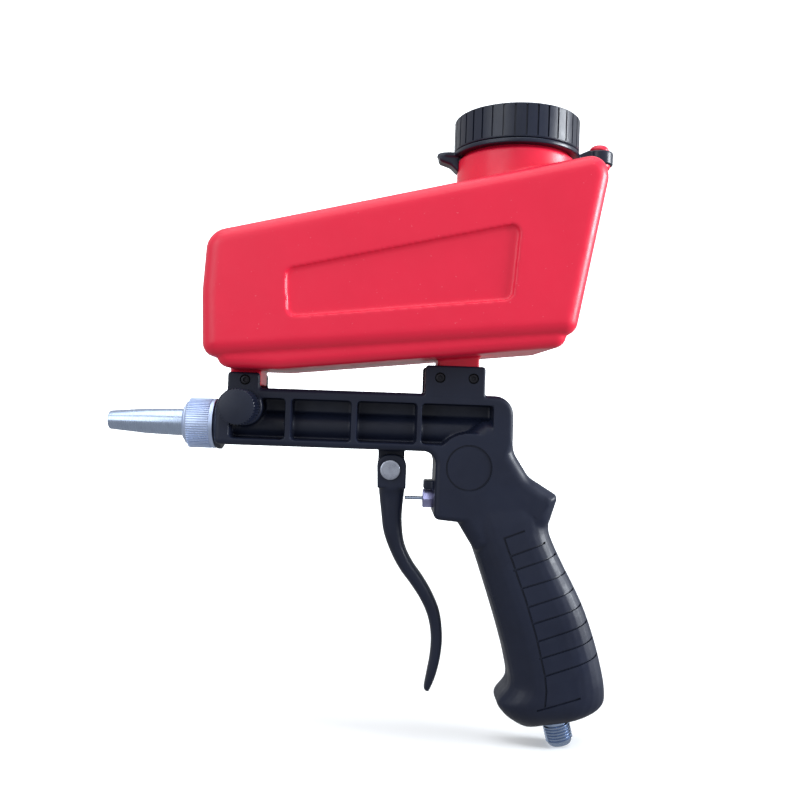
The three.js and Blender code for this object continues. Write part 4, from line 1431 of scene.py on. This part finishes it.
@dataclass
class Cap(SubAssembly):
    """The ribbed screw cap of the filler neck."""

    centre: float = NECK_X
    low: float = 135.9
    high: float = 152.0
    roof: float = 2.8
    band_top: float = 136.8  # the ribs start here
    rib_top: float = 150.9
    radius: float = 30.2
    inner: float = 28.1
    ribs: int = 36

    def build(self) -> None:
        """Builds the cap, its ribs and its thread."""
        bench = self.bench
        place = (self.centre, 0)
        ends = (self.band_top - 0.2, self.rib_top + 0.2)
        cap = bench.drum("hopper_cap_ribbed", Axis.Z, *ends, place, self.radius, facets=self.ribs * 4)
        slot = bench.block(
            "slot", (self.centre + self.radius - 0.75, -0.42, self.band_top), (self.centre + 32, 0.42, self.rib_top),
        )
        bench.combine(cap, Join.CUT, bench.copies(slot, Axis.Z, place, self.ribs))
        band = bench.drum("band", Axis.Z, self.low, self.band_top, place, self.radius, facets=144, rim=0.5)
        rim = bench.turned("rim", Axis.Z, place, (
            (self.rib_top, 0), (self.rib_top, 29.9), (self.rib_top + 0.3, 29.9), (self.rib_top + 0.75, 29.6),
            (self.high - 0.05, 28.9), (self.high, 28.2), (self.high, 26.6), (self.high - 0.35, 26.2),
            (self.high - 0.35, 0),
        ), steps=144)
        bench.combine(cap, Join.ADD, band, rim)
        well = bench.drum("well", Axis.Z, self.low - 1, self.high - self.roof, place, self.inner, facets=144)
        bench.combine(cap, Join.CUT, well)
        thread = bench.helix("thread", place, 139.8, self.inner + 0.4, self.inner - 1.2, 4.0, 1, 0.9, 0.4, steps=96)
        bench.combine(cap, Join.ADD, thread)
        self.fit(cap, CAP_BLACK, "hopper_cap")


@dataclass
class Tether(SubAssembly):
    """The strap under the cap: a ring with a pull tab, and a loop over the hopper's stud."""

    centre: float = NECK_X
    stud_x: float = STUD_X
    ring_low: float = 133.4
    ring_high: float = 135.6
    ring_radius: float = 30.6
    neck_clear: float = 26.9
    strap_low: float = 134.8
    strap_high: float = 138.6
    loop_low: float = 132.2

    def build(self) -> None:
        """Builds the strap."""
        bench = self.bench
        x = self.centre
        strap = bench.drum(
            "tether_strap_moulded", Axis.Z, self.ring_low, self.ring_high, (x, 0), self.ring_radius,
            facets=144, rim=0.5,
        )
        tab = bench.drum("tab", Axis.Z, self.ring_low, self.ring_high, (x - 33.6, 0), 5.0, facets=64, rim=0.8)
        wedge = bench.block("wedge", (x - 34, -5, self.ring_low), (x - 26, 5, self.ring_high), edge=0.5)
        ramp = bench.slab("ramp", (
            (x + 28, self.ring_low, 0), (x + 28, self.ring_high, 0), (x + 34.5, self.strap_high, 0),
            (x + 38, self.strap_high, 0), (x + 38, self.strap_low, 0), (x + 36, self.strap_low, 0),
            (x + 31, self.ring_low, 0),
        ), 5.0, 0.5)
        loop = bench.drum("loop", Axis.Z, self.loop_low, self.strap_high, (self.stud_x, 0), 6.8, facets=64, rim=0.6)
        gusset = bench.slab("gusset", (
            (x - 27.5, 126.4, 0), (x - 28.6, 126.4, 1), (x - 32, 129.6, 4), (x - 37.4, 131.4, 2),
            (x - 38.2, 134.9, 1.5), (x - 27.5, 134.9, 0),
        ), 4.4, 1.2)
        bench.combine(strap, Join.ADD, tab, wedge, ramp, loop, gusset)
        bench.mould(strap, voxel=0.35, smooth=3, keep=0.4)
        hole = bench.drum("hole", Axis.Z, 120, 150, (x, 0), self.neck_clear, facets=128)
        neck = bench.drum("neck", Axis.Z, 120, self.ring_low - 0.1, (x, 0), self.neck_clear + 1.6, facets=128)
        eye = bench.drum("eye", Axis.Z, 120, 150, (self.stud_x, 0), 3.1)
        cup = bench.drum("cup", Axis.Z, 120, self.strap_low - 0.3, (self.stud_x, 0), 5.8, facets=64)
        opening = bench.block("opening", (self.stud_x - 12, -5.8, 120), (self.stud_x, 5.8, self.strap_low - 0.3))
        bench.combine(strap, Join.CUT, hole, neck, eye, cup, opening)
        self.fit(strap, CAP_BLACK, "tether_strap", smooth=45)


@dataclass
class Studio:
    """The plain stage: a pale floor that curves up into a backdrop, soft lights and the camera."""

    camera_place: Corner = (0.01194, -0.4, 0.16513)
    camera_roll: float = 2.0
    lens: float = 36.7
    shift: Point = (0.019, 0.0020)
    lamps: tuple[tuple[str, Corner, Corner, float, float], ...] = (
        ("overhead", (-0.1, -0.25, 1.3), (0.01, 0, 0.16), 1.3, 10.0),
        ("front left", (-1.1, -1.3, 0.7), (0.01, 0, 0.16), 1.2, 9.0),
        ("right", (1.5, -0.25, 0.5), (0.01, 0, 0.16), 0.6, 34.0),
        ("backdrop", (0, 1.2, 2.2), (0, 3.9, 1.2), 3.0, 190.0),
    )
    lamp_tint: Colour = (0.90, 0.95, 1.0)
    sky: float = 0.72
    ground: float = 0.42
    horizon: Point = (-0.25, 0.15)

    def floor(self) -> None:
        """Builds the floor and the backdrop from one sheet."""
        Bench.pick()
        bpy.ops.mesh.primitive_plane_add(size=8, location=(0, 0, -0.0002))
        sheet = bpy.context.object
        sheet.name = "floor"
        bpy.ops.object.mode_set(mode="EDIT")
        Bench.select_edges(sheet, lambda a, b: a.y > 3.9 and b.y > 3.9)
        bpy.ops.mesh.extrude_edges_move(TRANSFORM_OT_translate={"value": (0, 0, 5)})
        Bench.select_edges(sheet, lambda a, b: a.y > 3.9 and b.y > 3.9 and a.z < 0.1 and b.z < 0.1)
        bpy.ops.mesh.bevel(offset=2.2, segments=24, profile=0.5, affect="EDGES", clamp_overlap=False)
        bpy.ops.object.mode_set(mode="OBJECT")
        bpy.ops.object.transform_apply(location=True, rotation=True, scale=True)
        bpy.ops.object.shade_smooth()
        board = NodeBoard("pale paper")
        board.colour(board.noise(400, detail=2), ((0.0, (0.90, 0.90, 0.90)), (1.0, (0.94, 0.94, 0.94))))
        board.fixed(Roughness=0.9, Specular_IOR_Level=0.1, Emission_Strength=0.12)
        sheet.data.materials.append(board.material)
        sheet.visible_glossy = False
        sheet.visible_diffuse = False

    def light(self) -> None:
        """Hangs the lamps, each turned to its target, and lights the room evenly."""
        for name, place, target, size, power in self.lamps:
            lamp = bpy.data.lights.new(name, "AREA")
            lamp.size = size
            lamp.energy = power
            lamp.color = self.lamp_tint
            thing = bpy.data.objects.new(name, lamp)
            thing.location = place
            thing.rotation_euler = (Vector(target) - Vector(place)).to_track_quat("-Z", "Y").to_euler()
            bpy.context.scene.collection.objects.link(thing)
        world = bpy.data.worlds.new("room")
        world.use_nodes = True
        tree = world.node_tree
        background = tree.nodes["Background"]
        background.inputs["Color"].default_value = (0.95, 0.975, 1.0, 1)
        split = tree.nodes.new("ShaderNodeSeparateXYZ")
        fade = tree.nodes.new("ShaderNodeMapRange")
        spread = (*self.horizon, self.ground, self.sky)
        for socket, number in zip(("From Min", "From Max", "To Min", "To Max"), spread):
            fade.inputs[socket].default_value = number
        tree.links.new(tree.nodes.new("ShaderNodeTexCoord").outputs["Generated"], split.inputs["Vector"])
        tree.links.new(split.outputs["Z"], fade.inputs["Value"])
        tree.links.new(fade.outputs["Result"], background.inputs["Strength"])
        bpy.context.scene.world = world
        bpy.context.scene.view_settings.view_transform = "Standard"

    def camera(self) -> None:
        """Places the camera level, a little rolled, looking along +Y."""
        data = bpy.data.cameras.new("camera")
        data.lens = self.lens
        data.shift_x, data.shift_y = self.shift
        data.clip_start = 0.01
        thing = bpy.data.objects.new("camera", data)
        look = Matrix.Rotation(math.pi / 2, 4, "X") @ Matrix.Rotation(math.radians(self.camera_roll), 4, "Z")
        thing.matrix_world = Matrix.Translation(self.camera_place) @ look
        bpy.context.scene.collection.objects.link(thing)
        bpy.context.scene.camera = thing

    def build(self) -> None:
        """Builds the stage."""
        self.camera()
        self.floor()
        self.light()


def gun_origin() -> Vector:
    """Finds the gun's own origin from the frame: the collar ends 0.6 mm behind it, on its axis."""
    low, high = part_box("nozzle_collar")
    collar_back = 0.6
    return Vector((high.x - collar_back * MM, 0, (low.z + high.z) / 2))


def main() -> None:
    """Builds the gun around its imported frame."""
    logging.basicConfig(level=logging.INFO, format="%(name)s: %(message)s")
    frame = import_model()
    Studio().build()
    bench = Bench(gun_origin())
    for maker in (
        GunBody(bench, "gun"), Screws(bench, "gun"), Hopper(bench, "gun"), Tether(bench, "gun"), Inlet(bench, "gun"),
        Cap(bench, "cap"), MeteringKnob(bench, "metering_valve"), Collar(bench, "collar"), Nozzle(bench, "nozzle"),
        Trigger(bench, "trigger"), ValveNut(bench, "gun"),
    ):
        maker.build()
        LOG.info("%s is done", type(maker).__name__)
    dress_carried(frame["nodes"])


if __name__ == "__main__":
    main()
